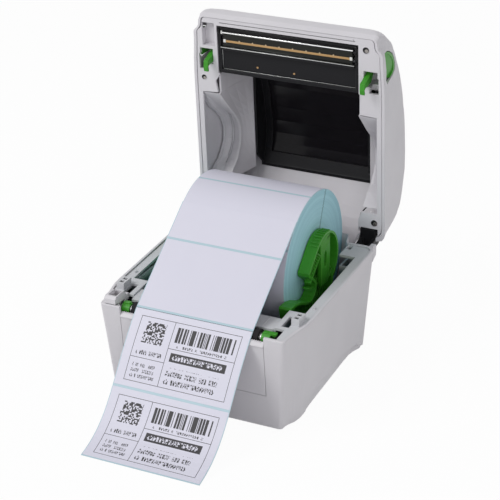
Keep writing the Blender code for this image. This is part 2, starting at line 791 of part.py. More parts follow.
def unit(a, b, turn):
    length = math.hypot(b[0] - a[0], b[1] - a[1])
    return (-turn * (b[1] - a[1]) / length, turn * (b[0] - a[0]) / length)


PINION_Y = 28.0
RACK_Z0 = 27.5
RACK_Z1 = 31.5


def make_rack(side):
    """Toothed bar on one side of the pinion, written for the right holder."""
    pitch = MODULE * PINION_TEETH / 2
    face = PINION_Y + side * pitch
    away = side
    step = math.pi * MODULE
    points = []
    first = -6
    shift = 0.5 * step
    for k in range(first, 11):
        x = k * step + shift
        points.append((x - 1.05, face + away * 1.1))
        points.append((x - 0.35, face - away * 0.85))
        points.append((x + 0.35, face - away * 0.85))
        points.append((x + 1.05, face + away * 1.1))
    x_end = HOLDER_X + 2.4
    points.append((x_end, face + away * 1.1))
    points.append((x_end, face + away * 5.0))
    points.append((first * step + shift - 1.05, face + away * 5.0))
    return prism(points, RACK_Z0, RACK_Z1, "Z")


def make_media():
    make_roll()
    make_web()
    make_holder("holder_right", 1)
    make_holder("holder_left", -1)
    outline = gear_outline(PINION_TEETH, (0, PINION_Y), 0.0)
    pinion = prism(outline, RACK_Z0, RACK_Z1, "Z")
    pinion = fuse(pinion, [rod(2.0, RACK_Z0 - 1, TUB_FLOOR + 1.5,
                               (0, PINION_Y), "Z", 20)])
    add("holder_pinion", pinion, "nylon", (0, PINION_Y, 0))
    sensor = block(-4, 4, -54.6, -49.4, 83.5,
                   rim_z(-52) - 2.9)
    add("media_sensor", sensor, "black", (0, -52, 85))


def make_electrics():
    board = block(-at_side(33.0), at_side(33.0), 46, 94, 9.5, 11.1)
    add("main_board", board, "board")
    inlet = cut(block(14, 26, 84, 101.5, 14, 26),
                [rod(3.2, 92, 105, (20, 20), "Y", 20)])
    add("power_inlet", inlet, "black")
    usb = cut(block(-12, 4, 84, 101.3, 14, 27),
              [block(-9, 1, 92, 105, 17, 24)])
    add("usb_socket", usb, "steel")
    net = cut(block(-46, -26, 80, 101.3, 12, 26),
              [block(-43, -29, 90, 105, 14, 23)])
    add("network_socket", net, "steel")
    rocker = prism([(88, 16), (99.0, 16), (102.0, 18), (99.8, 24),
                    (99.8, 26), (98.4, 32), (88, 32)],
                   at_side(27.0), at_side(13.0))
    add("power_switch", rocker, "black", (0, 94, 24))


# ---------------------------------------------------------------- hinge
def make_hinges():
    axis = (HINGE_Y, HINGE_Z)
    for side, name in ((-1, "left"), (1, "right")):
        x0 = at_side(20.5)
        x1 = at_side(13.1)
        barrel = rod(5.0, x0, x1, axis)
        web = block(x0, x1, REAR_Y + 0.6, HINGE_Y, HINGE_Z - 8,
                    HINGE_Z + 3)
        bracket = cut(fuse(barrel, [web]),
                      [rod(PIN_R + PIN_GAP, x0 - 1, x1 + 1, axis, steps=20)])
        pin = rod(PIN_R, x0 - 3.3, x1 + 3.3, axis, steps=20)
        if side < 0:
            bracket, pin = mirror(bracket), mirror(pin)
        add(f"hinge_bracket_{name}", bracket, "black")
        add(f"hinge_pin_{name}", pin, "steel")


# ---------------------------------------------------------------- lid
def crossing(w, side):
    """Profile u at height w on the rear (side 0) or front (side 1)."""
    peak = max(range(len(LID_PROFILE)), key=lambda i: LID_PROFILE[i][1])
    part = LID_PROFILE[:peak + 1] if side == 0 else LID_PROFILE[peak:][::-1]
    for (u0, w0), (u1, w1) in zip(part, part[1:]):
        if w0 <= w <= w1:
            return u0 + (u1 - u0) * (w - w0) / (w1 - w0)
    return part[-1][0]


def profile_height(u):
    top = [p for p in LID_PROFILE if p[1] >= 14]
    if u <= top[0][0]:
        return top[0][1] * max(0.0, 1 - (top[0][0] - u) / 3.0)
    for (u0, w0), (u1, w1) in zip(top, top[1:]):
        if u0 <= u <= u1:
            return w0 + (w1 - w0) * (u - u0) / (u1 - u0)
    return top[-1][1]


def lid_bay(w):
    return 13.5 * (1.0 - smooth((w - 22.0) / 42.0))


def lid_half_width(u, w):
    """Half width of the lid skin, stepping in just behind the nose."""
    step = NOSE_STEP - 3.7 * smooth(w / 14.0)
    taper = 1.6 * smooth((u - 146.0) / 34.0) + smooth((u - 188.0) / 10.0)
    width = LID_HALF - SIDE_TAPER * w - taper
    return width - step * smooth((u - 183.6) / 5.4)


def lid_outline(w, inset):
    """Right half plan (x, u) of the lid at height w, rear to front."""
    u0 = crossing(w + inset * 0.9, 0) + inset
    u1 = crossing(w + inset * 0.9, 1) - inset
    span = u1 - u0
    corner = min(LID_CORNER, span * 0.3)
    nose = min(NOSE_CORNER, span * 0.3)

    def half(u):
        width = lid_half_width(u, w)
        depth = max(0.0, profile_height(u) - w - inset * 0.9)
        if depth < LID_FILLET:
            drop = LID_FILLET - depth
            width -= LID_FILLET - math.sqrt(LID_FILLET ** 2 - drop ** 2)
        return width - inset

    points = []
    squeeze = min(1.0, (half(u0) - corner - 1) / BAY_EDGE)
    for x in bay_stations() + [BAY_EDGE]:
        sway = lid_bay(w) * bay(x)
        points.append((x * squeeze, u0 - sway))
    for k in range(5):
        a = math.radians(90 * k / 4)
        u = u0 + corner * (1 - math.cos(a))
        points.append((half(u) - corner * (1 - math.sin(a)), u))
    for part in (0.84, 0.70, 0.56, 0.43, 0.31, 0.21, 0.14, 0.095, 0.07, 0.06,
                 0.05, 0.04, 0.025):
        u = u1 - nose - (span - corner - nose) * part
        points.append((half(u), u))
    for k in range(5):
        a = math.radians(90 - 90 * k / 4)
        u = u1 - nose * (1 - math.cos(a))
        points.append((half(u) - nose * (1 - math.sin(a)), u))
    points += [(at_side(51.0), u1), (0, u1)]
    return points


def lid_ring(w, inset, lower=0.0):
    right = [(x, -u, RIM_OFFSET + w - lower) for x, u in lid_outline(w, inset)]
    return right + [(-x, y, z) for x, y, z in right[1:-1]][::-1]


def lid_solid(inset, extra=0.0):
    """Solid filling the lid skin set in by inset, down past the rim."""
    top = LID_LEVELS[-1] - inset * 0.9
    levels = [w for w in LID_LEVELS if w < top - 1.0] + [top]
    rings = [lid_ring(w, inset) for w in levels]
    if extra:
        first = [(x, y, z - extra) for x, y, z in rings[0]]
        rings = [first] + rings[1:]
    return loft(rings)


def lid_block(x0, x1, u0, u1, w0, w1):
    return block(x0, x1, -u1, -u0, RIM_OFFSET + w0, RIM_OFFSET + w1)


def lens_outline(inset):
    points = [(-u, RIM_OFFSET + w) for u, w in LEVER_LENS]
    return shrink(points, inset) if inset else points


def make_lid_shell(parent):
    shell = cut(lid_solid(0.0), [lid_solid(LID_WALL, 5.0)])
    cuts = [lid_block(-WINDOW_HALF, WINDOW_HALF, WINDOW_U0, WINDOW_U1, 50,
                      80)]
    for side in (-1, 1):
        x0, x1 = sorted((side * at_side(24.8), side * at_side(8.8)))
        cuts.append(lid_block(x0, x1, -20, 12, -5, 14.5))
        x0, x1 = sorted((side * at_side(11.0), side * at_side(-9.0)))
        cuts.append(prism(lens_outline(0.0), x0, x1))
    cuts.append(rod(4.4, 5, 90, (24.0, -166.0), "Z", 24))
    cuts.append(rod(1.6, 5, 90, (10.0, -166.0), "Z", 16))
    add("lid_shell", cut(shell, cuts), "shell", parent=parent)


POCKET_FAR = 126.2
POCKET_NEAR = 32.5


def flange_hole():
    """Inner outline of the flange, with the two scooped side openings."""
    right = [(24.1, 191.0), (24.1, 146.4), (21.7, 144.2), (23.3, 136.5),
             (23.4, 126.8)]
    left = [(24.1, 191.0), (24.1, 146.5), (25.5, 145.0), (20.7, 138.0),
            (22.6, 127.3)]
    near = [(7.6, POCKET_FAR), (7.6, POCKET_NEAR), (22.6, POCKET_NEAR),
            (25.6, 24.0), (25.6, 12.0)]
    points = [(at_side(inset), -u) for inset, u in right + near]
    return points + [(-at_side(inset), -u) for inset, u in left + near][::-1]


def make_lid_frame(parent):
    outline = [(x, -u) for x, u in lid_outline(2.0, LID_WALL + GAP + 0.2)]
    outline += [(-x, y) for x, y in outline[1:-1]][::-1]
    plate = prism(outline, RIM_OFFSET + 0.4, RIM_OFFSET + 2.8, "Z")
    corner = [(at_side(inset), -u) for inset, u in (
        (23.8, 148.6), (6.4, 148.6), (6.4, 183.0), (11.0, 187.0), (11.0, 190.0),
        (23.8, 190.0))]
    for side in (-1, 1):
        ends = [(side * x, y) for x, y in corner]
        plate = fuse(plate, [prism(ends, RIM_OFFSET + 0.8, RIM_OFFSET + 23.5,
                                   "Z")])
    x0 = at_side(24.8)
    rear = [(-x0, 20), (x0, 20), (x0, -13.0), (-x0, -13.0)]
    cuts = [prism(flange_hole(), 0, 40, "Z"), prism(rear, 0, 40, "Z")]
    for side in (-1, 1):
        windows = [(19.5, 6.8, 154.0, 168.3, -5, 20),
                   (19.5, 14.3, 152.0, 170.2, 2.6, 20),
                   (19.5, 14.3, 152.0, 177.0, 7.9, 20),
                   (14.4, 5.8, 148.2, 162.6, -5, 8),
                   (25.0, 7.0, -10.0, 17.5, -5, 8),
                   (8.2, -9.0, 154.3, 187.5, 4.0, 36),
                   (10.9, -9.0, 154.7, 191.0, 8.8, 36)]
        for near, far, u0, u1, w0, w1 in windows:
            x0, x1 = sorted((side * at_side(near), side * at_side(far)))
            cuts.append(lid_block(x0, x1, u0, u1, w0, w1))
    cuts.append(lid_block(-at_side(9.8), -at_side(21.7), 171.0, 192.6, -5, 7.2))
    cuts.append(rod(2.2, -HALF_WIDTH, HALF_WIDTH,
                    (-LATCH_U, RIM_OFFSET + LATCH_W), steps=16))
    add("lid_frame", cut(plate, cuts), "shell", parent=parent)
    for side, name in ((-1, "left"), (1, "right")):
        add(f"lid_liner_{name}", make_liner(side), "shell", parent=parent)


SCOOP = [(125.7, 0.7), (122.4, 3.3), (121.2, 4.3), (104.4, 17.6),
         (95.5, 25.6), (87.1, 32.0), (79.0, 35.2), (73.0, 36.5),
         (61.8, 35.5), (54.5, 31.6), (47.3, 26.0), (42.8, 18.6),
         (37.2, 13.0), (33.2, 8.4)]


def make_liner(side):
    """Scooped ceiling over one side opening and the wall to the window."""
    inner = at_side(24.5)
    outer = at_side(8.1)
    deep = inner - CUP_HALF - 0.4
    ceiling = []
    wall = []
    for u, w in [(144.5, 3.4), (126.6, 3.4)] + [
            (u, w + 0.08 * max(0.0, w - 4.0)) for u, w in SCOOP]:
        face = [(inner - deep * t ** 1.6, w + (49.6 - w) * t)
                for t in (0, 0.25, 0.5, 0.75, 1)]
        ring = face + [(x + 1.8, h) for x, h in face][::-1]
        wall.append([(x, -u, RIM_OFFSET + h) for x, h in ring])
    for u, w in SCOOP:
        drop = min(6.0, max(0.2, 0.6 * (w - 3.9)))
        near = w + 0.08 * max(0.0, w - 4.0)
        w += 0.24 * max(0.0, w - 4.0)
        lip = outer + 0.1
        if w > 4.0:
            lip = max(lip, lid_half_width(u, w + 2.0) - LID_WALL - 0.7)
        bend = [(outer - drop + drop * math.sin(a), w - drop + drop * math.cos(a))
                for a in (0.0, 0.39, 0.79, 1.18)]
        ring = [(inner, near), (inner + 2.0, near)] + bend + [
            (outer, w - drop), (lip, w - drop), (lip, w + 1.6), (inner, near + 1.6)]
        ceiling.append([(x, -u, RIM_OFFSET + h) for x, h in ring])
    liner = fuse(loft(wall), [loft(ceiling)])
    return mirror(liner) if side < 0 else liner


def make_window(parent):
    skin = cut(lid_solid(0.05), [lid_solid(LID_WALL - 0.05, 5.0)])
    pane = common(skin, lid_block(-WINDOW_HALF + GAP, WINDOW_HALF - GAP,
                                  WINDOW_U0 + GAP, WINDOW_U1 - GAP, 50, 80))
    add("lid_window", pane, "smoked", parent=parent)
    outer = common(lid_solid(LID_WALL + 0.6),
                   lid_block(-CUP_HALF, CUP_HALF, 29.3, 148, CUP_W, 80))
    inner = common(lid_solid(LID_WALL + 1.9),
                   lid_block(-CUP_HALF + 1.6, CUP_HALF - 1.6, 31.0, 146.4,
                             CUP_W - 9, 80))
    rear = prism([(-20, RIM_OFFSET + 40), (-20, RIM_OFFSET + 60.5),
                  (-34, RIM_OFFSET + 60.5), (-56, RIM_OFFSET + 40)], -80, 80)
    opening = lid_block(-WINDOW_HALF + 1, WINDOW_HALF - 1, WINDOW_U0 + 1,
                        WINDOW_U1 - 1, 50, 80)
    add("window_surround", cut(outer, [inner, rear, opening]), "black",
        parent=parent)


def make_lid_hinges(parent):
    for side, name in ((-1, "left"), (1, "right")):
        lugs = []
        for x0 in (at_side(24.0), at_side(12.7)):
            outline = arc((0, 0), 5.0, 180, 360, 8)
            outline += [(1.5, 13.6), (-7.0, 13.6), (-5.8, 7.0)]
            lugs.append(prism(outline, x0, x0 + 3.1))
        upper = [(1.5, 13.4), (1.0, 22.0), (-3.0, 26.5), (-14.5, 26.5),
                 (-16.0, 24), (-16.0, 13.4)]
        hinge = fuse(prism(upper, at_side(24.0), at_side(9.6)), lugs)
        hinge = cut(hinge, [rod(PIN_R + PIN_GAP, at_side(31.0), HALF_WIDTH,
                                (0, 0), steps=20)])
        if side < 0:
            hinge = mirror(hinge)
        add(f"lid_hinge_{name}", hinge, "black", parent=parent)


LATCH_U = 172.0
LATCH_W = 12.2
LEVER_LENS = [(155.6, 9.0), (156.8, 16.0), (157.6, 24.0), (160.0, 31.0),
              (165.5, 33.6), (171.5, 31.2), (177.0, 26.6), (182.0, 18.5),
              (184.6, 12.0), (184.6, 5.6), (177.0, 7.3), (169.0, 8.4),
              (163.5, 7.2), (159.5, 5.6)]
LEVER_SINK = 2.6


def make_latch(parent):
    origin = (0, -LATCH_U, RIM_OFFSET + LATCH_W)
    axis = (-LATCH_U, RIM_OFFSET + LATCH_W)
    shaft = rod(1.8, -at_side(12.0), at_side(12.0), axis, steps=16)
    add("latch_shaft", shaft, "steel", origin, parent)
    for side, name in ((-1, "left"), (1, "right")):
        hook = [(-156.5, 18.0), (-156.0, 6.0), (-155.0, 3.6), (-151.0, 4.6),
                (-150.5, 3.2), (-154.5, 2.4), (-160.5, 3.4), (-162.0, 9.0),
                (-164.5, 17.0), (-167.0, 20.9), (-176.0, 20.9),
                (-176.0, 26.0), (-164.0, 26.0)]
        hook = prism(hook, at_side(19.0), at_side(14.8))
        hook = cut(hook, [rod(2.1, at_side(21.0), at_side(13.0), axis,
                              steps=16)])
        lever = make_lever()
        if side < 0:
            hook, lever = mirror(hook), mirror(lever)
        add(f"latch_hook_{name}", hook, "green", origin, parent)
        add(f"latch_lever_{name}", lever, "green", parent=parent)


def make_lever():
    """Dished thumb piece with a raised lip along its far edge."""
    lens = prism(lens_outline(0.7), at_side(9.0), at_side(-9.0))
    dish = [(y, z - 2.6) for y, z in lens_outline(1.6)]
    sunk = prism(dish, at_side(0.0) - 1.3 - LEVER_SINK, at_side(-9.0))
    lever = common(lid_solid(0.3), lens)
    lever = cut(lever, [lid_solid(LEVER_SINK + 1.8, 3.0), sunk])
    return cut(lever, [lid_block(60, 120, 150, 158.6, -5, 60)])


def make_head(parent):
    half = at_side(24.6)
    frame = lid_block(-half, half, 147.0, 190.4, 1.2, 4.6)
    hole = lid_block(2.8 - half, half - 2.8, 150.0, 187.6, 0, 6)
    add("head_surround", cut(frame, [hole]), "black", parent=parent)
    half = at_side(28.0)
    plate = lid_block(-half, half, 150.6, 172.0, 3.0, 8.0)
    edge = lid_block(-half, half, 169.6, 171.4, -0.6, 4.0)
    add("head_bracket", fuse(plate, [edge]), "black", parent=parent)
    half = at_side(30.0)
    board = lid_block(-half, half, 172.4, 184.0, 1.3, 4.0)
    add("print_head", board, "ceramic", parent=parent)
    half = at_side(29.3)
    bar = lid_block(-half, half, 184.4, 187.0, 0.8, 5.0)
    add("tear_bar", bar, "steel", parent=parent)
    for side, name in ((-1, "left"), (1, "right")):
        spring = spring_body(side * 40.0)
        add(f"head_spring_{name}", spring, "steel",
            (side * 40.0, -165.0, RIM_OFFSET + 9.3), parent)
    half = at_side(24.2)
    carrier = lid_block(-half, half, 152.0, 184.0, 21.0, 23.0)
    add("head_carrier", carrier, "steel", parent=parent)


SPRING_TURNS = 3
SPRING_STEPS = 9


def spring_body(x):
    """Close helical wire standing between the bracket and its carrier."""
    radius = 3.2
    wire = 0.5
    base, height = RIM_OFFSET + 9.3 + wire, 11.4 - 2 * wire
    rings = []
    for k in range(SPRING_TURNS * SPRING_STEPS + 1):
        angle = 2 * math.pi * k / SPRING_STEPS
        c, s = math.cos(angle), math.sin(angle)
        z = base + height * k / (SPRING_TURNS * SPRING_STEPS)
        ring = []
        for j in range(4):
            b = 2 * math.pi * j / 4
            r = radius + wire * math.cos(b)
            ring.append((x + r * c, -165.0 + r * s, z + wire * math.sin(b)))
        rings.append(ring)
    return loft(rings)


def wire_body(points, radius):
    rings = []
    for k, point in enumerate(points):
        a = Vector(points[max(0, k - 1)])
        b = Vector(points[min(len(points) - 1, k + 1)])
        along = (b - a).normalized()
        side = along.cross(Vector((0.2, 0.3, 1.0))).normalized()
        up = side.cross(along).normalized()
        ring = []
        for j in range(6):
            t = 2 * math.pi * j / 6
            offset = side * math.cos(t) * radius + up * math.sin(t) * radius
            ring.append(tuple(Vector(point) + offset))
        rings.append(ring)
    return loft(rings)


def make_lid_details(parent):
    black = [(27.0, 23.5, 30), (29.0, 22.5, 26), (31.0, 20, 21),
             (32.0, 14, 18), (29.0, 9.5, 16.5), (25.5, 10.6, 17)]
    wire = wire_body([(at_side(inset), -u, RIM_OFFSET + w)
                      for inset, u, w in black], 0.6)
    add("head_cable", wire, "black", parent=parent)
    button = rod(4.0, RIM_OFFSET + 43.5, RIM_OFFSET + 50.4, (24.0, -166.0),
                 "Z", 24)
    add("feed_button", button, "green", (24.0, -166.0, RIM_OFFSET + 45),
        parent)
    lens = rod(1.25, RIM_OFFSET + 45, RIM_OFFSET + 49.6, (10.0, -166.0), "Z",
               16)
    add("status_lens", lens, "lens", parent=parent)


def make_lid():
    pivot = bpy.data.objects.new("lid_pivot", None)
    pivot.location = (0, (HINGE_Y + SHIFT_Y) * MM, HINGE_Z * MM)
    pivot.rotation_euler = (math.radians(OPEN_DEG), 0, 0)
    bpy.context.scene.collection.objects.link(pivot)
    make_lid_shell(pivot)
    make_lid_frame(pivot)
    make_window(pivot)
    make_lid_hinges(pivot)
    make_latch(pivot)
    make_head(pivot)
    make_lid_details(pivot)


def main():
    clear_scene()
    make_base_shell()
    make_deck()
    make_bottom()
    make_front_panel()
    make_gear_cover()
    make_drive()
    make_media()
    make_electrics()
    make_hinges()
    make_lid()


main()
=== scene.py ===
import json
import math

import bmesh
import bpy
from mathutils import Matrix, Vector

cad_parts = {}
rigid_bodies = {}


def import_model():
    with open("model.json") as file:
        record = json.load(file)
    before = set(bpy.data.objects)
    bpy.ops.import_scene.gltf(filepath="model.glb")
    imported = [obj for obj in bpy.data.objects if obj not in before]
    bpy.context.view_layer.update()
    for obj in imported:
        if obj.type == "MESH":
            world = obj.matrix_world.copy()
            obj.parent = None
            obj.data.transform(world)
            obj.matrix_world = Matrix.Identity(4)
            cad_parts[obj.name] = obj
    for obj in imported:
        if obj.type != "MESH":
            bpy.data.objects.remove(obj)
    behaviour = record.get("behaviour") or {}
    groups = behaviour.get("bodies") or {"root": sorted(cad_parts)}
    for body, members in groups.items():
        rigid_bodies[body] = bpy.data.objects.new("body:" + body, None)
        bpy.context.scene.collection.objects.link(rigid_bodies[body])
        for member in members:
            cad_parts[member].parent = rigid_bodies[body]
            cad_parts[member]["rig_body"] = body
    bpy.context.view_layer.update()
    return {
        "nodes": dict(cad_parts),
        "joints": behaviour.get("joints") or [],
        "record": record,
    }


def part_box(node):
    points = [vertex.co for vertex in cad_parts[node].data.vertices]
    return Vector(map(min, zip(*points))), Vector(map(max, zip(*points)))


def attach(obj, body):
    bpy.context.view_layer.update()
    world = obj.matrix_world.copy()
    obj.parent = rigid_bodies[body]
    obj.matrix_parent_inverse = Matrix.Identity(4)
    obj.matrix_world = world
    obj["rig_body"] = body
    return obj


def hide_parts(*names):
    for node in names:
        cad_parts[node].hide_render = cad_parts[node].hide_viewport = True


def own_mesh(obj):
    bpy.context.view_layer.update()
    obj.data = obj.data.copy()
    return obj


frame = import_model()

NODES = frame["nodes"]
JOINTS = {joint["name"]: joint for joint in frame["joints"]}
MM = 0.001

# Measures in millimetres, lid ones from the hinge line and in from the rim.
LABEL_PITCH = 68.1
LABEL_GAP = 2.1
LINER_MARGIN = 0.6
LID_OPEN = math.radians(-84.5)
RIM_OFFSET = 12.5
HEAD_HALF = 61.0
PLATE_HALF = 63.0
LIP_Y = -87.3
LIP_RIB_PITCH = 1.9
SHIFT = -9.85
DASH_PITCH = 2.9
RAMP_Z = 89.75
RAMP_RISE = 0.0655
RIM_FRONT = (-81.0, 90.6)
SLOT_Y = (-55.8, -38.7)
HOLE_Y = (-48.6, -42.6)
HOLDER_HEAD = (49.0, 104.5, 27.5)
HOLDER_PIN = (48.4, 106.2, 1.5)


# ------------------------------------------------------------ node helpers
def feed(tree, socket, value):
    if isinstance(value, bpy.types.NodeSocket):
        tree.links.new(value, socket)
    else:
        socket.default_value = value


def sum_of(tree, operation, *values):
    node = tree.nodes.new("ShaderNodeMath")
    node.operation = operation
    for socket, value in zip(node.inputs, values):
        feed(tree, socket, value)
    return node.outputs[0]


def noise(tree, place, scale, detail=2.0, kind='3D'):
    node = tree.nodes.new("ShaderNodeTexNoise")
    node.noise_dimensions = kind
    feed(tree, node.inputs["W" if kind == '1D' else "Vector"], place)
    feed(tree, node.inputs["Scale"], scale)
    node.inputs["Detail"].default_value = detail
    return node.outputs[0]


def spread(tree, value, low, high, to_low, to_high):
    node = tree.nodes.new("ShaderNodeMapRange")
    for name, part in (("Value", value), ("From Min", low), ("From Max", high),
                       ("To Min", to_low), ("To Max", to_high)):
        feed(tree, node.inputs[name], part)
    return node.outputs[0]


def mixed(tree, share, first, second, blend='MIX'):
    node = tree.nodes.new("ShaderNodeMix")
    node.data_type = 'RGBA'
    node.blend_type = blend
    feed(tree, node.inputs[0], share)
    feed(tree, node.inputs[6], first)
    feed(tree, node.inputs[7], second)
    return node.outputs[2]


def object_place(tree):
    return tree.nodes.new("ShaderNodeTexCoord").outputs["Object"]


def bumped(tree, height, depth, normal=None):
    node = tree.nodes.new("ShaderNodeBump")
    node.inputs["Strength"].default_value = 1.0
    feed(tree, node.inputs["Distance"], depth)
    feed(tree, node.inputs["Height"], height)
    if normal:
        feed(tree, node.inputs["Normal"], normal)
    return node.outputs[0]


def new_group(name, inputs, outputs):
    """Shader node group with named sockets; returns tree, inputs, output node."""
    tree = bpy.data.node_groups.new(name, "ShaderNodeTree")
    for label, kind, value in inputs:
        socket = tree.interface.new_socket(label, in_out='INPUT', socket_type=kind)
        if value is not None:
            socket.default_value = value
    for label, kind in outputs:
        tree.interface.new_socket(label, in_out='OUTPUT', socket_type=kind)
    entry = tree.nodes.new("NodeGroupInput")
    leave = tree.nodes.new("NodeGroupOutput")
    return tree, entry.outputs, leave.inputs


def use_group(tree, name, **values):
    node = tree.nodes.new("ShaderNodeGroup")
    node.node_tree = bpy.data.node_groups[name]
    for label, value in values.items():
        feed(tree, node.inputs[label.replace("_", " ")], value)
    return node.outputs


FLOAT, COLOUR, VECTOR = "NodeSocketFloat", "NodeSocketColor", "NodeSocketVector"


# ------------------------------------------------------------ shared effects
def make_moulded_grain():
    """Fine mould texture, with slow changes of shade and of gloss."""
    tree, given, out = new_group(
        "moulded_grain", [("Size", FLOAT, 0.0005), ("Unevenness", FLOAT, 0.02)],
        [("Height", FLOAT), ("Shade", FLOAT), ("Gloss", FLOAT)])
    place = object_place(tree)
    scale = sum_of(tree, 'DIVIDE', 1.0, given["Size"])
    tree.links.new(noise(tree, place, scale, 2.0), out["Height"])
    slow = noise(tree, place, 22.0, 3.0)
    low = sum_of(tree, 'SUBTRACT', 1.0, given["Unevenness"])
    high = sum_of(tree, 'ADD', 1.0, given["Unevenness"])
    tree.links.new(spread(tree, slow, 0.3, 0.7, low, high), out["Shade"])
    patches = noise(tree, place, 60.0, 4.0)
    tree.links.new(spread(tree, patches, 0.3, 0.7, -0.04, 0.04), out["Gloss"])


def make_soft_edges():
    """Rounded edge normals, and a mask of where those edges are."""
    tree, given, out = new_group(
        "soft_edges", [("Radius", FLOAT, 0.0004)],
        [("Normal", VECTOR), ("Edge", FLOAT)])
    bevel = tree.nodes.new("ShaderNodeBevel")
    bevel.samples = 6
    tree.links.new(given["Radius"], bevel.inputs["Radius"])
    tree.links.new(bevel.outputs[0], out["Normal"])
    flat = tree.nodes.new("ShaderNodeNewGeometry")
    match = tree.nodes.new("ShaderNodeVectorMath")
    match.operation = 'DOT_PRODUCT'
    tree.links.new(bevel.outputs[0], match.inputs[0])
    tree.links.new(flat.outputs["Normal"], match.inputs[1])
    edge = spread(tree, match.outputs["Value"], 1.0, 0.8, 0.0, 1.0)
    tree.links.new(edge, out["Edge"])


def make_brushed_lines():
    """Long fine scratches that run along X."""
    tree, given, out = new_group(
        "brushed_lines", [("Width", FLOAT, 0.0003)],
        [("Height", FLOAT), ("Gloss", FLOAT)])
    mapping = tree.nodes.new("ShaderNodeMapping")
    mapping.inputs["Scale"].default_value = (0.03, 1.0, 1.0)
    tree.links.new(object_place(tree), mapping.inputs["Vector"])
    scale = sum_of(tree, 'DIVIDE', 1.0, given["Width"])
    lines = noise(tree, mapping.outputs[0], scale, 3.0)
    tree.links.new(lines, out["Height"])
    tree.links.new(spread(tree, lines, 0.3, 0.7, -0.07, 0.07), out["Gloss"])


BOX_INPUTS = [("Across", FLOAT, 0.0), ("Along", FLOAT, 0.0), ("Left", FLOAT, 0.0),
              ("Right", FLOAT, 1.0), ("Low", FLOAT, 0.0), ("High", FLOAT, 1.0)]


def inside_box(tree, given, grow=0.0):
    parts = []
    for place, low, high in (("Across", "Left", "Right"), ("Along", "Low", "High")):
        start = sum_of(tree, 'SUBTRACT', given[low], grow)
        end = sum_of(tree, 'ADD', given[high], grow)
        parts.append(sum_of(tree, 'GREATER_THAN', given[place], start))
        parts.append(sum_of(tree, 'LESS_THAN', given[place], end))
    first = sum_of(tree, 'MULTIPLY', parts[0], parts[1])
    second = sum_of(tree, 'MULTIPLY', parts[2], parts[3])
    return sum_of(tree, 'MULTIPLY', first, second)


def cell_noise(tree, given, wide, tall, seed):
    """Random value for each cell of a grid that starts at the box corner."""
    across = sum_of(tree, 'SUBTRACT', given["Across"], given["Left"])
    along = sum_of(tree, 'SUBTRACT', given["Along"], given["Low"])
    place = tree.nodes.new("ShaderNodeCombineXYZ")
    column = sum_of(tree, 'FLOOR', sum_of(tree, 'DIVIDE', across, wide))
    row = sum_of(tree, 'FLOOR', sum_of(tree, 'DIVIDE', along, tall))
    feed(tree, place.inputs[0], column)
    feed(tree, place.inputs[1], row)
    feed(tree, place.inputs[2], seed)
    random = tree.nodes.new("ShaderNodeTexWhiteNoise")
    random.noise_dimensions = '3D'
    tree.links.new(place.outputs[0], random.inputs["Vector"])
    return random.outputs["Value"]


def make_print_groups():
    """Ink masks for a plain shipping label: box, rule, bars, words, modules."""
    tree, given, out = new_group("printed_box", BOX_INPUTS, [("Ink", FLOAT)])
    tree.links.new(inside_box(tree, given), out["Ink"])

    tree, given, out = new_group(
        "printed_frame", BOX_INPUTS + [("Line", FLOAT, 0.4)], [("Ink", FLOAT)])
    hole = inside_box(tree, given, sum_of(tree, 'MULTIPLY', given["Line"], -1.0))
    ink = sum_of(tree, 'SUBTRACT', inside_box(tree, given), hole)
    tree.links.new(ink, out["Ink"])

    tree, given, out = new_group(
        "printed_bars", BOX_INPUTS + [("Bar", FLOAT, 0.6), ("Seed", FLOAT, 1.0)],
        [("Ink", FLOAT)])
    random = cell_noise(tree, given, given["Bar"], 1000.0, given["Seed"])
    bars = sum_of(tree, 'GREATER_THAN', random, 0.42)
    tree.links.new(sum_of(tree, 'MULTIPLY', bars, inside_box(tree, given)), out["Ink"])

    tree, given, out = new_group(
        "printed_modules", BOX_INPUTS + [("Cell", FLOAT, 0.8), ("Seed", FLOAT, 1.0)],
        [("Ink", FLOAT)])
    random = cell_noise(tree, given, given["Cell"], given["Cell"], given["Seed"])
    cells = sum_of(tree, 'GREATER_THAN', random, 0.45)
    tree.links.new(sum_of(tree, 'MULTIPLY', cells, inside_box(tree, given)), out["Ink"])

    tree, given, out = new_group(
        "printed_words", BOX_INPUTS + [("Row", FLOAT, 5.0), ("Letter", FLOAT, 1.9),
                                       ("Seed", FLOAT, 1.0)], [("Ink", FLOAT)])
    along = sum_of(tree, 'SUBTRACT', given["Along"], given["Low"])
    in_row = sum_of(tree, 'FRACT', sum_of(tree, 'DIVIDE', along, given["Row"]))
    tall = sum_of(tree, 'LESS_THAN', in_row, 0.62)
    letters = cell_noise(tree, given, given["Letter"], given["Row"], given["Seed"])
    seen = sum_of(tree, 'GREATER_THAN', letters, 0.16)
    across = sum_of(tree, 'SUBTRACT', given["Across"], given["Left"])
    in_letter = sum_of(tree, 'FRACT', sum_of(tree, 'DIVIDE', across, given["Letter"]))
    gap = sum_of(tree, 'LESS_THAN', in_letter, 0.78)
    strokes = cell_noise(tree, given, sum_of(tree, 'MULTIPLY', given["Letter"], 0.26),
                         sum_of(tree, 'MULTIPLY', given["Row"], 0.155), 7.0)
    stroke = sum_of(tree, 'GREATER_THAN', strokes, 0.42)
    ink = sum_of(tree, 'MULTIPLY', sum_of(tree, 'MULTIPLY', tall, seen),
                 sum_of(tree, 'MULTIPLY', gap, stroke))
    tree.links.new(sum_of(tree, 'MULTIPLY', ink, inside_box(tree, given)), out["Ink"])


# ------------------------------------------------------------ finishes
def new_finish(name):
    material = bpy.data.materials.new(name)
    material.use_nodes = True
    return material, material.node_tree, material.node_tree.nodes["Principled BSDF"]


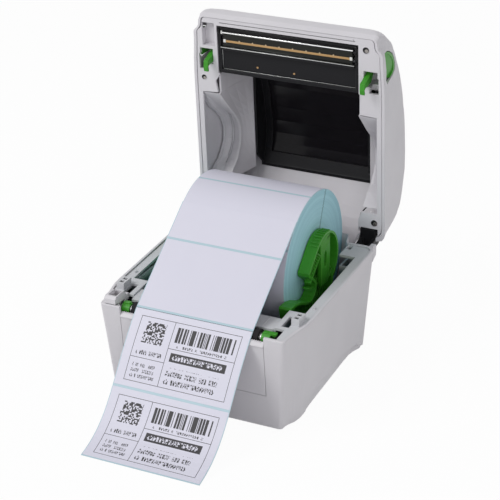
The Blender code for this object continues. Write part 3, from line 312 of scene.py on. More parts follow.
def moulded(name, colour, gloss, size=0.0006, depth=0.00003, uneven=0.02,
            edge=0.0005, edge_highlight=0.15, highlight_lift=0.25, highlight_colour=None):
    """Moulded plastic: grain, slow random changes of tone, and edges painted paler as a
    painted highlight.
    """
    material, tree, shader = new_finish(name)
    grain = use_group(tree, "moulded_grain", Size=size, Unevenness=uneven)
    edges = use_group(tree, "soft_edges", Radius=edge)
    tone = tree.nodes.new("ShaderNodeCombineColor")
    for socket in tone.inputs:
        tree.links.new(grain["Shade"], socket)
    base = mixed(tree, 1.0, (*colour, 1), tone.outputs[0], 'MULTIPLY')
    # Edges are painted paler along the soft_edges mask: a painted highlight on every
    # moulded edge.
    painted_highlight = highlight_colour or tuple(c + (1 - c) * highlight_lift for c in colour)
    share = sum_of(tree, 'MULTIPLY', edges["Edge"], edge_highlight)
    feed(tree, shader.inputs["Base Color"], mixed(tree, share, base, (*painted_highlight, 1)))
    feed(tree, shader.inputs["Roughness"], sum_of(tree, 'ADD', grain["Gloss"], gloss))
    feed(tree, shader.inputs["Normal"],
         bumped(tree, grain["Height"], depth, edges["Normal"]))
    return material


def metal(name, colour, gloss, width=0.0003, depth=0.00001):
    material, tree, shader = new_finish(name)
    lines = use_group(tree, "brushed_lines", Width=width)
    edges = use_group(tree, "soft_edges", Radius=0.0003)
    grain = use_group(tree, "moulded_grain", Size=0.004, Unevenness=0.06)
    tone = tree.nodes.new("ShaderNodeCombineColor")
    for socket in tone.inputs:
        tree.links.new(grain["Shade"], socket)
    feed(tree, shader.inputs["Base Color"],
         mixed(tree, 1.0, (*colour, 1), tone.outputs[0], 'MULTIPLY'))
    shader.inputs["Metallic"].default_value = 1.0
    feed(tree, shader.inputs["Roughness"], sum_of(tree, 'ADD', lines["Gloss"], gloss))
    feed(tree, shader.inputs["Normal"],
         bumped(tree, lines["Height"], depth, edges["Normal"]))
    return material


def deck_with_painted_tub_shade():
    """Deck plastic, with painted shade down inside the media tub: darker there, and
    tinted blue-green as painted bounce light from the roll.
    """
    material = moulded("deck_grey_painted_tub_shade", (0.66, 0.665, 0.69), 0.5)
    tree = material.node_tree
    shader = tree.nodes["Principled BSDF"]
    above = shader.inputs["Base Color"].links[0].from_socket
    parts = tree.nodes.new("ShaderNodeSeparateXYZ")
    tree.links.new(object_place(tree), parts.inputs[0])
    # Below the tub's rim height the colour is darkened and tinted: painted shade with
    # painted blue-green bounce light.
    deep = spread(tree, parts.outputs[2], 0.083, 0.087, 1.0, 0.0)
    painted_tub_shade = mixed(tree, 1.0, above, (0.26, 0.36, 0.38, 1), 'MULTIPLY')
    feed(tree, shader.inputs["Base Color"], mixed(tree, deep, above, painted_tub_shade))
    return material


def smoked_pane():
    material, tree, shader = new_finish("smoked_pane")
    grain = use_group(tree, "moulded_grain", Size=0.02, Unevenness=0.15)
    tone = tree.nodes.new("ShaderNodeCombineColor")
    for socket in tone.inputs:
        tree.links.new(grain["Shade"], socket)
    feed(tree, shader.inputs["Base Color"],
         mixed(tree, 1.0, (0.011, 0.010, 0.012, 1), tone.outputs[0], 'MULTIPLY'))
    feed(tree, shader.inputs["Roughness"], sum_of(tree, 'ADD', grain["Gloss"], 0.12))
    feed(tree, shader.inputs["Normal"], use_group(tree, "soft_edges")["Normal"])
    return material


def circuit_board():
    """Green lacquer over a net of tracks."""
    material, tree, shader = new_finish("circuit_board")
    place = object_place(tree)
    tracks = tree.nodes.new("ShaderNodeTexVoronoi")
    tracks.feature = 'DISTANCE_TO_EDGE'
    tree.links.new(place, tracks.inputs["Vector"])
    tracks.inputs["Scale"].default_value = 180.0
    line = spread(tree, tracks.outputs[0], 0.03, 0.07, 1.0, 0.0)
    feed(tree, shader.inputs["Base Color"],
         mixed(tree, line, (0.015, 0.11, 0.05, 1), (0.05, 0.26, 0.12, 1)))
    shader.inputs["Roughness"].default_value = 0.35
    feed(tree, shader.inputs["Normal"], bumped(tree, line, 0.00005))
    return material


def rolled_card():
    material, tree, shader = new_finish("rolled_card")
    place = object_place(tree)
    fibres = noise(tree, place, 900.0, 4.0)
    feed(tree, shader.inputs["Base Color"],
         mixed(tree, fibres, (0.30, 0.22, 0.13, 1), (0.52, 0.41, 0.27, 1)))
    shader.inputs["Roughness"].default_value = 0.85
    feed(tree, shader.inputs["Normal"], bumped(tree, fibres, 0.00008))
    return material


LINER_BLUE = (0.48, 0.645, 0.715, 1)


def web_place(tree):
    """Millimetres across the web from its left edge, and along from its end."""
    uv = tree.nodes.new("ShaderNodeUVMap")
    uv.uv_map = "web"
    parts = tree.nodes.new("ShaderNodeSeparateXYZ")
    tree.links.new(uv.outputs[0], parts.inputs[0])
    across = sum_of(tree, 'MULTIPLY', parts.outputs[0], 1000.0)
    along = sum_of(tree, 'MULTIPLY', parts.outputs[1], 1000.0)
    return across, along


def ink_masks(tree, across, along, width):
    """Every printed thing on one label, as one ink mask."""
    place = {"Across": across, "Along": along}
    near, far = 8.0, width - 7.0
    split = near + 0.34 * (far - near)
    inner = split + 4.0

    def box(kind, left, right, low, high, **more):
        return use_group(tree, kind, Left=left, Right=right, Low=low, High=high,
                         **place, **more)["Ink"]

    masks = [
        box("printed_frame", near, far, 6.0, 61.5, Line=0.45),
        box("printed_box", split, split + 0.45, 6.0, 61.5),
        box("printed_box", split, far, 38.5, 38.95),
        box("printed_box", near, split, 26.0, 26.45),
        box("printed_modules", near + 6.0, split - 6.4, 39.0, 57.4, Cell=1.15),
        box("printed_words", near + 4.0, split - 3.5, 29.0, 35.0, Row=6.0,
            Letter=1.7, Seed=3.0),
        box("printed_words", near + 4.0, split - 4.0, 9.5, 23.0, Row=4.6,
            Letter=1.5, Seed=5.0),
        box("printed_bars", inner, far - 4.0, 44.5, 57.5, Bar=0.62, Seed=2.0),
        box("printed_words", inner + 3.0, far - 8.0, 40.3, 43.8, Row=3.6,
            Letter=1.9, Seed=9.0),
        box("printed_words", inner, far - 10.0, 9.5, 23.5, Row=6.8, Letter=2.2,
            Seed=12.0),
    ]
    band = box("printed_box", inner, far - 6.0, 28.2, 35.6)
    words = box("printed_words", inner + 2.0, far - 9.0, 30.0, 35.0, Row=6.6,
                Letter=2.7, Seed=15.0)
    total = sum_of(tree, 'SUBTRACT', band, words)
    for mask in masks:
        total = sum_of(tree, 'MAXIMUM', total, mask)
    return total


def label_paper(name, printed, width):
    """Coated labels on a blue liner, with a gap between labels."""
    material, tree, shader = new_finish(name)
    across, along = web_place(tree)
    local = sum_of(tree, 'MODULO', along, LABEL_PITCH)
    place = {"Across": across, "Along": local}
    label = use_group(tree, "printed_box", Left=LINER_MARGIN,
                      Right=width - LINER_MARGIN, Low=LABEL_GAP / 2,
                      High=LABEL_PITCH - LABEL_GAP / 2, **place)["Ink"]
    fibres = noise(tree, object_place(tree), 1500.0, 4.0)
    soft = noise(tree, object_place(tree), 25.0, 2.0)
    white = mixed(tree, soft, (0.735, 0.725, 0.835, 1), (0.77, 0.76, 0.86, 1))
    colour = mixed(tree, label, LINER_BLUE, white)
    if printed:
        ink = ink_masks(tree, across, local, width)
        fade = spread(tree, fibres, 0.3, 0.7, 0.97, 1.0)
        share = sum_of(tree, 'MULTIPLY', ink, fade)
        colour = mixed(tree, share, colour, (0.008, 0.007, 0.009, 1))
    feed(tree, shader.inputs["Base Color"], colour)
    feed(tree, shader.inputs["Roughness"], spread(tree, label, 0, 1, 0.45, 0.55))
    raised = sum_of(tree, 'ADD', label, sum_of(tree, 'MULTIPLY', fibres, 0.08))
    feed(tree, shader.inputs["Normal"], bumped(tree, raised, 0.00008))
    return material


def wound_edge(centre):
    """Side of the roll: hair-thin rings of liner and label edges, one seam."""
    material, tree, shader = new_finish("wound_edge")
    mapping = tree.nodes.new("ShaderNodeMapping")
    mapping.inputs["Location"].default_value = (0, -centre[0], -centre[1])
    tree.links.new(object_place(tree), mapping.inputs["Vector"])
    parts = tree.nodes.new("ShaderNodeSeparateXYZ")
    tree.links.new(mapping.outputs[0], parts.inputs[0])
    y, z = parts.outputs[1], parts.outputs[2]
    square = sum_of(tree, 'ADD', sum_of(tree, 'MULTIPLY', y, y),
                    sum_of(tree, 'MULTIPLY', z, z))
    radius = sum_of(tree, 'SQRT', square)
    fine = noise(tree, radius, 2600.0, 3.0, '1D')
    broad = noise(tree, radius, 240.0, 2.0, '1D')
    angle = sum_of(tree, 'ARCTAN2', z, y)
    sway = sum_of(tree, 'MULTIPLY', noise(tree, radius, 700.0, 2.0, '1D'), 0.05)
    off = sum_of(tree, 'ABSOLUTE', sum_of(tree, 'SUBTRACT', angle,
                                          sum_of(tree, 'ADD', sway, 1.18)))
    arc = sum_of(tree, 'MULTIPLY', off, radius)
    seam = spread(tree, arc, 0.0003, 0.0016, 1.0, 0.0)
    ring = mixed(tree, fine, (0.27, 0.54, 0.62, 1), (0.46, 0.76, 0.85, 1))
    ring = mixed(tree, spread(tree, broad, 0.35, 0.7, 0.0, 0.45), ring,
                 (0.50, 0.80, 0.88, 1))
    dark = sum_of(tree, 'MULTIPLY', seam, 0.62)
    colour = mixed(tree, dark, ring, (0.07, 0.16, 0.19, 1))
    feed(tree, shader.inputs["Base Color"], colour)
    shader.inputs["Roughness"].default_value = 0.6
    feed(tree, shader.inputs["Normal"], bumped(tree, fine, 0.00012))
    return material


def make_finishes():
    """All finishes, by the record's slot names and by the names used here."""
    make_moulded_grain()
    make_soft_edges()
    make_brushed_lines()
    make_print_groups()
    return {
        "shell": moulded("shell_grey", (0.70, 0.68, 0.71), 0.5),
        "deck": deck_with_painted_tub_shade(),
        "black": moulded("black_plastic", (0.014, 0.014, 0.016), 0.42, edge_highlight=0.3,
                         highlight_lift=0.12),
        "plate": moulded("textured_plate", (0.018, 0.019, 0.019), 0.55, size=0.0016,
                         depth=0.00035, uneven=0.2, edge_highlight=0.25, highlight_lift=0.15),
        # Green edges get a yellow-green painted highlight.
        "green": moulded("green_plastic", (0.05, 0.31, 0.022), 0.38, edge_highlight=0.6,
                         highlight_colour=(0.17, 0.55, 0.09)),
        "steel": metal("plain_steel", (0.62, 0.62, 0.63), 0.3),
        "rubber": moulded("black_rubber", (0.022, 0.022, 0.024), 0.8, size=0.0009,
                          depth=0.00006, edge_highlight=0.2, highlight_lift=0.1),
        "nylon": moulded("gear_nylon", (0.78, 0.78, 0.75), 0.45, edge_highlight=0.1),
        "card": rolled_card(),
        "smoked": smoked_pane(),
        "board": circuit_board(),
        "ceramic": moulded("heater_gold", (0.52, 0.31, 0.12), 0.3, edge_highlight=0.1),
        "motor": metal("motor_can", (0.42, 0.42, 0.43), 0.35),
        "lens": moulded("signal_lens", (0.08, 0.45, 0.1), 0.2, edge_highlight=0.1),
        "board_dark": moulded("heater_board", (0.02, 0.021, 0.018), 0.18, edge_highlight=0.1,
                              highlight_lift=0.1),
        "pale_gold": moulded("heater_mark", (0.62, 0.45, 0.26), 0.3, edge_highlight=0.1),
        "bright": metal("bright_edge", (0.93, 0.93, 0.93), 0.16),
        # Steel for the plate lip strips, which stand in for the lips' highlight: painted
        # highlight.
        "lip_highlight_steel": metal("lip_highlight_steel", (0.62, 0.63, 0.62), 0.3),
        "gloss_black": moulded("gloss_black", (0.01, 0.01, 0.011), 0.22, edge_highlight=0.4,
                               highlight_lift=0.2),
        "dark_steel": metal("screw_steel", (0.34, 0.32, 0.30), 0.35),
        # Warm dark grey for the rim seam strips: painted shade in the gap.
        "seam": moulded("rim_seam_painted_shade", (0.27, 0.25, 0.235), 0.7, edge_highlight=0.0),
        # Near-black for the slot floors: painted shade.
        "slot_shade": moulded("painted_slot_shade_black", (0.006, 0.006, 0.007), 0.8, edge_highlight=0.0),
    }


def paint_frame(finishes):
    """Give each carried-over node the finish of its slot."""
    slots = {part["node"]: part["material_slot"] for part in frame["record"]["subparts"]}
    for name, node in NODES.items():
        finish = finishes.get(slots.get(name, "shell"), finishes["shell"])
        node.data.materials.clear()
        node.data.materials.append(finish)


# ------------------------------------------------------------ the web
def piece_from(name, bm, body, slot, finishes, *nodes):
    """Finished mesh piece from a bmesh, riding a body."""
    mesh = bpy.data.meshes.new(name)
    bmesh.ops.recalc_face_normals(bm, faces=bm.faces)
    bm.to_mesh(mesh)
    bm.free()
    piece = bpy.data.objects.new(name, mesh)
    bpy.context.scene.collection.objects.link(piece)
    for finish in finishes:
        mesh.materials.append(finish)
    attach(piece, body)
    if nodes:
        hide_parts(*nodes)
    return piece


def merged_copy(node):
    bm = bmesh.new()
    bm.from_mesh(NODES[node].data)
    bmesh.ops.remove_doubles(bm, verts=bm.verts, dist=1e-6)
    for face in bm.faces:
        face.smooth = True
    return bm


def web_run(node, start):
    """Stations (y, distance along the web) of a web piece, front to rear."""
    bm = merged_copy(node)
    left = min(v.co.x for v in bm.verts)
    rim = sorted(((v.co.y, v.co.z) for v in bm.verts if v.co.x < left + 1e-5))
    bm.free()
    stations = []
    for y, z in rim:
        if stations and abs(y - stations[-1][0]) < 0.0006:
            continue
        stations.append((y, z))
    run = []
    for k, (y, z) in enumerate(stations):
        if k:
            start += math.dist(stations[k - 1], (y, z))
        run.append((y, start))
    return run


def along_at(run, y):
    if y <= run[0][0]:
        return run[0][1]
    for (y0, s0), (y1, s1) in zip(run, run[1:]):
        if y <= y1:
            return s0 + (s1 - s0) * (y - y0) / (y1 - y0)
    return run[-1][1]


def make_web():
    """Printed strip, blank bridge over the platen, and the roll they come from."""
    low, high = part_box("label_strip")
    left, width = low[0], (high[0] - low[0]) / MM
    printed = label_paper("printed_labels", True, width)
    blank = label_paper("blank_labels", False, width)
    edge = moulded("liner_edge", LINER_BLUE[:3], 0.6, edge_highlight=0.0)
    start = 0.0
    for node, paper in (("label_strip", printed), ("label_bridge", blank)):
        run = web_run(node, start)
        start = run[-1][1]
        bm = merged_copy(node)
        uv = bm.loops.layers.uv.new("web")
        for face in bm.faces:
            face.material_index = 0 if abs(face.normal.x) < 0.5 else 1
            for loop in face.loops:
                at = loop.vert.co
                loop[uv].uv = (at.x - left, along_at(run, at.y))
        name = "printed_strip" if paper is printed else "web_bridge"
        body = NODES[node]["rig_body"]
        piece = piece_from(name, bm, body, "paper", (paper, edge), node)
        sharpen(piece, 25)
        if paper is blank:
            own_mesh(piece)
    make_roll(blank, start, left)


def make_roll(paper, start, left):
    """Wound roll, its web coordinates carried on from the bridge."""
    low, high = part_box("label_roll")
    centre = ((low[1] + high[1]) / 2, (low[2] + high[2]) / 2)
    core_low, core_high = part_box("roll_core")
    bore = (core_high[2] - core_low[2]) / 2 + 0.0004
    radius = (high[2] - low[2]) / 2
    bridge_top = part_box("label_bridge")[1][2]
    lift = math.asin(min(1.0, (bridge_top - centre[1]) / radius))
    first = math.pi - lift
    steps = 144
    chamfer = 0.0004
    profile = [(low[0], bore), (low[0], radius - chamfer), (low[0] + chamfer, radius),
               (high[0] - chamfer, radius), (high[0], radius - chamfer),
               (high[0], bore)]
    bm = bmesh.new()
    uv = bm.loops.layers.uv.new("web")
    rings = []
    for k in range(steps):
        angle = first - 2 * math.pi * k / steps
        c, s = math.cos(angle), math.sin(angle)
        rings.append([bm.verts.new((x, centre[0] + r * c, centre[1] + r * s))
                      for x, r in profile])
    for k in range(steps):
        a, b = rings[k], rings[(k + 1) % steps]
        for j in range(len(profile)):
            n = (j + 1) % len(profile)
            face = bm.faces.new((a[j], a[n], b[n], b[j]))
            face.material_index = 0 if j in (1, 2, 3) else 1
            face.smooth = True
            for loop, step in zip(face.loops, (k, k, k + 1, k + 1)):
                turn = 2 * math.pi * step / steps
                loop[uv].uv = (loop.vert.co.x - left, start + radius * turn)
    body = NODES["label_roll"]["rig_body"]
    piece = piece_from("wound_roll", bm, body, "paper", (paper, wound_edge(centre)),
                       "label_roll")
    sharpen(piece, 40)


def sharpen(piece, degrees):
    """Smooth shading with hard edges past an angle."""
    mesh = piece.data
    for polygon in mesh.polygons:
        polygon.use_smooth = True
    mesh.set_sharp_from_angle(angle=math.radians(degrees))


# ------------------------------------------------------------ lid measures
def lid_matrix():
    hinge = Vector(JOINTS["lid_hinge"]["pos_m"])
    return Matrix.Translation((0, hinge.y, hinge.z)) @ Matrix.Rotation(LID_OPEN, 4, 'X')


def lid_box(bm, x, u, w, slot=0, soft=0.0):
    """Box in lid measures (mm): across, from the hinge, in from the rim."""
    at = lid_matrix()
    box_between(bm, [(a * MM, -b * MM, (RIM_OFFSET + c) * MM)
                     for a in x for b in u for c in w], at, slot, soft)


def box_between(bm, corners, at=None, slot=0, soft=0.0):
    """Box from eight corners in x, y, z counting order, edges rounded by soft."""
    verts = [bm.verts.new(at @ Vector(c) if at else Vector(c)) for c in corners]
    faces = [bm.faces.new([verts[k] for k in order]) for order in (
        (0, 1, 3, 2), (4, 6, 7, 5), (0, 4, 5, 1), (2, 3, 7, 6), (0, 2, 6, 4),
        (1, 5, 7, 3))]
    for face in faces:
        face.material_index = slot
    if soft:
        edges = list({edge for face in faces for edge in face.edges})
        bmesh.ops.bevel(bm, geom=edges, offset=soft * MM, segments=2,
                        profile=0.5, affect='EDGES', material=-1)


def base_box(bm, x, y, z, slot=0, soft=0.0):
    box_between(bm, [(a * MM, b * MM, c * MM) for a in x for b in y for c in z],
                None, slot, soft)


def lid_disc(bm, x, u, w, radius, slot=0, thick=0.3, steps=20):
    """Flat round pad that faces out of the open lid."""
    at = lid_matrix()
    rings = []
    for r, h in ((radius, w + thick), (radius, w + 0.1), (radius - 0.12, w)):
        ring = []
        for k in range(steps):
            a = 2 * math.pi * k / steps
            spot = ((x + r * math.cos(a)) * MM, (-u + r * math.sin(a)) * MM,
                    (RIM_OFFSET + h) * MM)
            ring.append(bm.verts.new(at @ Vector(spot)))
        rings.append(ring)
    for a, b in zip(rings, rings[1:]):
        for k in range(steps):
            n = (k + 1) % steps
            bm.faces.new((a[k], a[n], b[n], b[k])).material_index = slot
    bm.faces.new(rings[0][::-1]).material_index = slot
    bm.faces.new(rings[-1]).material_index = slot


# ------------------------------------------------------------ repeated parts
def make_row_tree():
    """Copies of one part along a straight row."""
    tree = bpy.data.node_groups.new("row_of_parts", "GeometryNodeTree")
    for label, kind in (("Part", "NodeSocketObject"), ("Count", "NodeSocketInt"),
                        ("Start", "NodeSocketVector"), ("Step", "NodeSocketVector"),
                        ("Finish", "NodeSocketMaterial")):
        tree.interface.new_socket(label, in_out='INPUT', socket_type=kind)
    tree.interface.new_socket("Row", in_out='OUTPUT',
                              socket_type="NodeSocketGeometry")
    entry = tree.nodes.new("NodeGroupInput").outputs
    line = tree.nodes.new("GeometryNodeMeshLine")
    line.mode = 'OFFSET'
    part = tree.nodes.new("GeometryNodeObjectInfo")
    spread_out = tree.nodes.new("GeometryNodeInstanceOnPoints")
    real = tree.nodes.new("GeometryNodeRealizeInstances")
    paint = tree.nodes.new("GeometryNodeSetMaterial")
    leave = tree.nodes.new("NodeGroupOutput")
    for source, target in (
            (entry["Count"], line.inputs["Count"]),
            (entry["Start"], line.inputs["Start Location"]),
            (entry["Step"], line.inputs["Offset"]),
            (entry["Part"], part.inputs["Object"]),
            (line.outputs[0], spread_out.inputs["Points"]),
            (part.outputs["Geometry"], spread_out.inputs["Instance"]),
            (spread_out.outputs[0], real.inputs[0]),
            (real.outputs[0], paint.inputs["Geometry"]),
            (entry["Finish"], paint.inputs["Material"]),
            (paint.outputs[0], leave.inputs[0])):
        tree.links.new(source, target)
    return tree


def row_of(name, part_bm, count, start, step, finish, body, slot):
    """Plain mesh piece holding a row of equal parts."""
    tree = bpy.data.node_groups.get("row_of_parts") or make_row_tree()
    mesh = bpy.data.meshes.new(name + "_part")
    bmesh.ops.recalc_face_normals(part_bm, faces=part_bm.faces)
    part_bm.to_mesh(mesh)
    part_bm.free()
    part = bpy.data.objects.new(name + "_part", mesh)
    carrier = bpy.data.objects.new(name + "_row", bpy.data.meshes.new(name + "_row"))
    bpy.context.scene.collection.objects.link(part)
    bpy.context.scene.collection.objects.link(carrier)
    maker = carrier.modifiers.new("row", 'NODES')
    maker.node_group = tree
    given = {"Part": part, "Count": count, "Start": start, "Step": step,
             "Finish": finish}
    for item in tree.interface.items_tree:
        if item.in_out == 'INPUT':
            maker[item.identifier] = given[item.name]
    graph = bpy.context.evaluated_depsgraph_get()
    done = bpy.data.meshes.new_from_object(carrier.evaluated_get(graph))
    bpy.data.objects.remove(carrier)
    bpy.data.objects.remove(part)
    bm = bmesh.new()
    bm.from_mesh(done)
    return piece_from(name, bm, body, slot, (finish,))


# ------------------------------------------------------------ print head
def make_print_head(finishes):
    """Heater board with its gold line and marks, and the bright edge below it."""
    body = NODES["print_head"]["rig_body"]
    bm = bmesh.new()
    lid_box(bm, (-HEAD_HALF, HEAD_HALF), (172.4, 184.0), (1.3, 4.0), 0, 0.3)
    lid_box(bm, (1 - HEAD_HALF, HEAD_HALF - 1), (176.3, 178.3), (1.16, 1.5), 1, 0.1)
    for x in (-HEAD_HALF, HEAD_HALF - 2.4):
        lid_box(bm, (x, x + 2.4), (175.9, 178.9), (1.0, 1.6), 2, 0.2)
    heater = piece_from("heater_board", bm, body, "ceramic",
                        (finishes["board_dark"], finishes["ceramic"],
                         finishes["nylon"]), "print_head")
    sharpen(heater, 40)

    tick = bmesh.new()
    at = lid_matrix().to_3x3()
    corners = ((-1.2, 0, 0), (1.2, 0, 0), (0, -1.5, 0), (-1.2, 0, 0.2), (1.2, 0, 0.2),
               (0, -1.5, 0.2))
    verts = [tick.verts.new(at @ (Vector(c) * MM)) for c in corners]
    for order in ((0, 1, 2), (3, 5, 4), (0, 3, 4, 1), (1, 4, 5, 2), (2, 5, 3, 0)):
        tick.faces.new([verts[k] for k in order])
    start = lid_matrix() @ (Vector((-45.5, -178.0, RIM_OFFSET + 1.15)) * MM)
    row_of("heater_ticks", tick, 8, start, (12.73 * MM, 0, 0),
           finishes["pale_gold"], body, "ceramic")

    bm = bmesh.new()
    lid_box(bm, (-61.7, 61.7), (184.4, 185.7), (0.8, 5.0), 0, 0.4)
    lid_box(bm, (-61.7, 61.7), (185.8, 187.0), (1.6, 5.0), 1, 0.3)
    lid_box(bm, (-63.4, -61.8), (183.4, 186.6), (0.9, 2.4), 2, 0.3)
    edge = piece_from("tear_edge", bm, NODES["tear_bar"]["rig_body"], "steel",
                      (finishes["bright"], finishes["black"], finishes["nylon"]),
                      "tear_bar")
    sharpen(edge, 40)


def make_head_frame(finishes):
    """Black frame about the print head, its ridge and its clip tabs."""
    body = NODES["head_surround"]["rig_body"]
    bm = bmesh.new()
    lid_box(bm, (-63.5, 65.0), (187.9, 190.3), (-0.3, 1.1), 0, 0.6)
    for u0, u1 in ((186.4, 189.2), (181.0, 183.0), (172.6, 175.2)):
        lid_box(bm, (63.9, 66.0), (u0, u1), (-0.6, 1.1), 0, 0.4)
    lid_box(bm, (-65.8, -64.0), (184.5, 188.5), (-0.3, 1.1), 0, 0.4)
    ridge = piece_from("head_ridge", bm, body, "black", (finishes["gloss_black"],))
    sharpen(ridge, 50)

    bm = bmesh.new()
    # Bright steel strips along the plate's bent lips: a painted highlight for the lips'
    # edges.
    lid_box(bm, (-63.2, 63.2), (171.5, 172.1), (-0.8, 1.2), 0, 0.15)
    lid_box(bm, (-PLATE_HALF, PLATE_HALF), (150.2, 150.55), (2.7, 4.0), 0, 0.1)
    lid_box(bm, (-63.3, -62.9), (151, 171.4), (2.8, 4.0), 0, 0.1)
    lid_box(bm, (62.9, 63.3), (151, 171.4), (2.8, 4.0), 0, 0.1)
    for x, u in ((-29.5, 155.7), (5.6, 155.0)):
        lid_disc(bm, x, u, 2.6, 0.9, 1, 0.6)
    # Black disc: painted shade for a small hole beside the second screw.
    lid_disc(bm, 1.2, 155.6, 2.9, 0.8, 2, 0.2)
    plate = piece_from("head_plate_edges", bm, NODES["head_bracket"]["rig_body"],
                       "steel", (finishes["lip_highlight_steel"], finishes["ceramic"],
                                 finishes["gloss_black"]))
    sharpen(plate, 40)


# ------------------------------------------------------------ lid flange
def make_lid_holes(finishes):
    """Round holes and screws on the rim of the open lid, drawn as flat pads: the black
    disc in each is painted shade for the hole.
    """
    body = NODES["lid_frame"]["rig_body"]
    bm = bmesh.new()
    for x, u, r in ((73.8, 187.5, 2.9), (80.7, 23.5, 3.1), (-81.5, 140.4, 2.4)):
        lid_disc(bm, x, u, 0.3, r + 0.7, 0, 0.4, 28)
        # Black disc: painted shade inside the hole.
        lid_disc(bm, x, u, 0.24, r, 1, 0.3, 28)
        lid_disc(bm, x + 0.6, u - 0.7, 0.18, r * 0.6, 2, 0.2, 20)
    lid_box(bm, (-64.0, 64.0), (193.9, 194.3), (0.2, 0.6), 1, 0.1)
    lid_box(bm, (61.6, 62.8), (194.4, 196.2), (-0.5, 0.5), 0, 0.3)
    piece = piece_from("lid_rim_holes", bm, body, "shell",
                       (finishes["shell"], finishes["black"], finishes["dark_steel"]))
    sharpen(piece, 40)


# ------------------------------------------------------------ base details
def make_front_ribs(finishes):
    """Row of fine ribs along the lip that the labels leave over."""
    body = NODES["front_panel"]["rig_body"]
    low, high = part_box("front_panel")
    rib = bmesh.new()
    top = high[2] / MM
    base_box(rib, (-0.4, 0.4), (-0.9, 0.7), (-0.9, 0.25), 0, 0.12)
    count = int((high[0] - low[0]) / MM / LIP_RIB_PITCH) - 1
    start = (low[0] + 2.2 * MM, LIP_Y * MM, (top - 0.1) * MM)
    row_of("lip_ribs", rib, count, start, (LIP_RIB_PITCH * MM, 0, 0),
           finishes["shell"], body, "shell")


def make_guide_dashes(finishes):
    """Short raised dashes that mark the web's path on the deck ramp."""
    body = NODES["inner_deck"]["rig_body"]
    for side, name in ((-1, "left"), (1, "right")):
        dash = bmesh.new()
        base_box(dash, (-0.35, 0.35), (-0.9, 0.9), (-0.3, 0.25), 0, 0.1)
        start = Vector((side * 55.0, -58.0 + SHIFT, RAMP_Z)) * MM
        row_of(f"guide_dashes_{name}", dash, 6, start,
               (0, DASH_PITCH * MM, DASH_PITCH * RAMP_RISE * MM), finishes["shell"],
               body, "deck")


def half_width(y):
    t = max(0.0, min(1.0, (y + 79.0) / 40.0))
    return 84.8 + 6.2 * t * t * (3 - 2 * t)


def rim_height(y):
    y0, z0 = RIM_FRONT
    return z0 + RAMP_RISE * (y - y0)


def make_rim_seams(finishes):
    """Dark strip set down in the narrow seam between the outer shell and the deck set
    into it: painted shade for the gap.
    """
    bm = bmesh.new()
    stops = [-77.5, -73, -68, -63, -58, -53, -48, -43, -38, 0, 40, 80, 90]
    for side in (-1, 1):
        for y0, y1 in zip(stops, stops[1:]):
            corners = []
            for off in (3.25, 2.5):
                for y in (y0, y1):
                    x = side * (half_width(y) - off) * MM
                    for drop in (2.0, 1.02):
                        corners.append((x, (y + SHIFT) * MM,
                                        (rim_height(y) - drop) * MM))
            box_between(bm, corners)
    piece_from("rim_seams", bm, NODES["base_shell"]["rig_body"], "shell",
               (finishes["seam"],))


def make_painted_slot_shade(finishes):
    """Near-black floors set a little way down the latch slots and the block holes:
    painted shade for their depth.
    """
    bm = bmesh.new()
    for side in (-1, 1):
        x = sorted((side * 70.7, side * 76.8))
        base_box(bm, x, [y + SHIFT for y in SLOT_Y], (76.0, 80.4), 0, 0.3)
        for y in HOLE_Y:
            x = sorted((side * 79.3, side * 82.7))
            base_box(bm, x, (y - 1.7 + SHIFT, y + 1.7 + SHIFT), (91.6, 96.4), 0, 0.2)
    piece_from("slot_wells", bm, NODES["inner_deck"]["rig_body"], "deck",
               (finishes["slot_shade"],))


# ------------------------------------------------------------ roll holders
def across_prism(bm, outline, x0, x1, slot=0):
    """Solid between two x planes, from a (y, z) outline in millimetres."""
    ends = [[bm.verts.new((x * MM, (y + SHIFT) * MM, z * MM)) for y, z in outline]
            for x in (x0, x1)]
    faces = [bm.faces.new(ends[0][::-1]), bm.faces.new(ends[1])]
    count = len(outline)
    for k in range(count):
        n = (k + 1) % count
        faces.append(bm.faces.new((ends[0][k], ends[0][n], ends[1][n], ends[1][k])))
    for face in faces:
        face.material_index = slot


def stroke(bm, a, b, wide, x0, x1, slot=0):
    """Straight bar between two (y, z) points."""
    run = Vector((b[0] - a[0], b[1] - a[1]))
    off = Vector((-run.y, run.x)).normalized() * wide / 2
    outline = [(a[0] + off.x, a[1] + off.y), (a[0] - off.x, a[1] - off.y),
               (b[0] - off.x, b[1] - off.y), (b[0] + off.x, b[1] + off.y)]
    across_prism(bm, outline, x0, x1, slot)


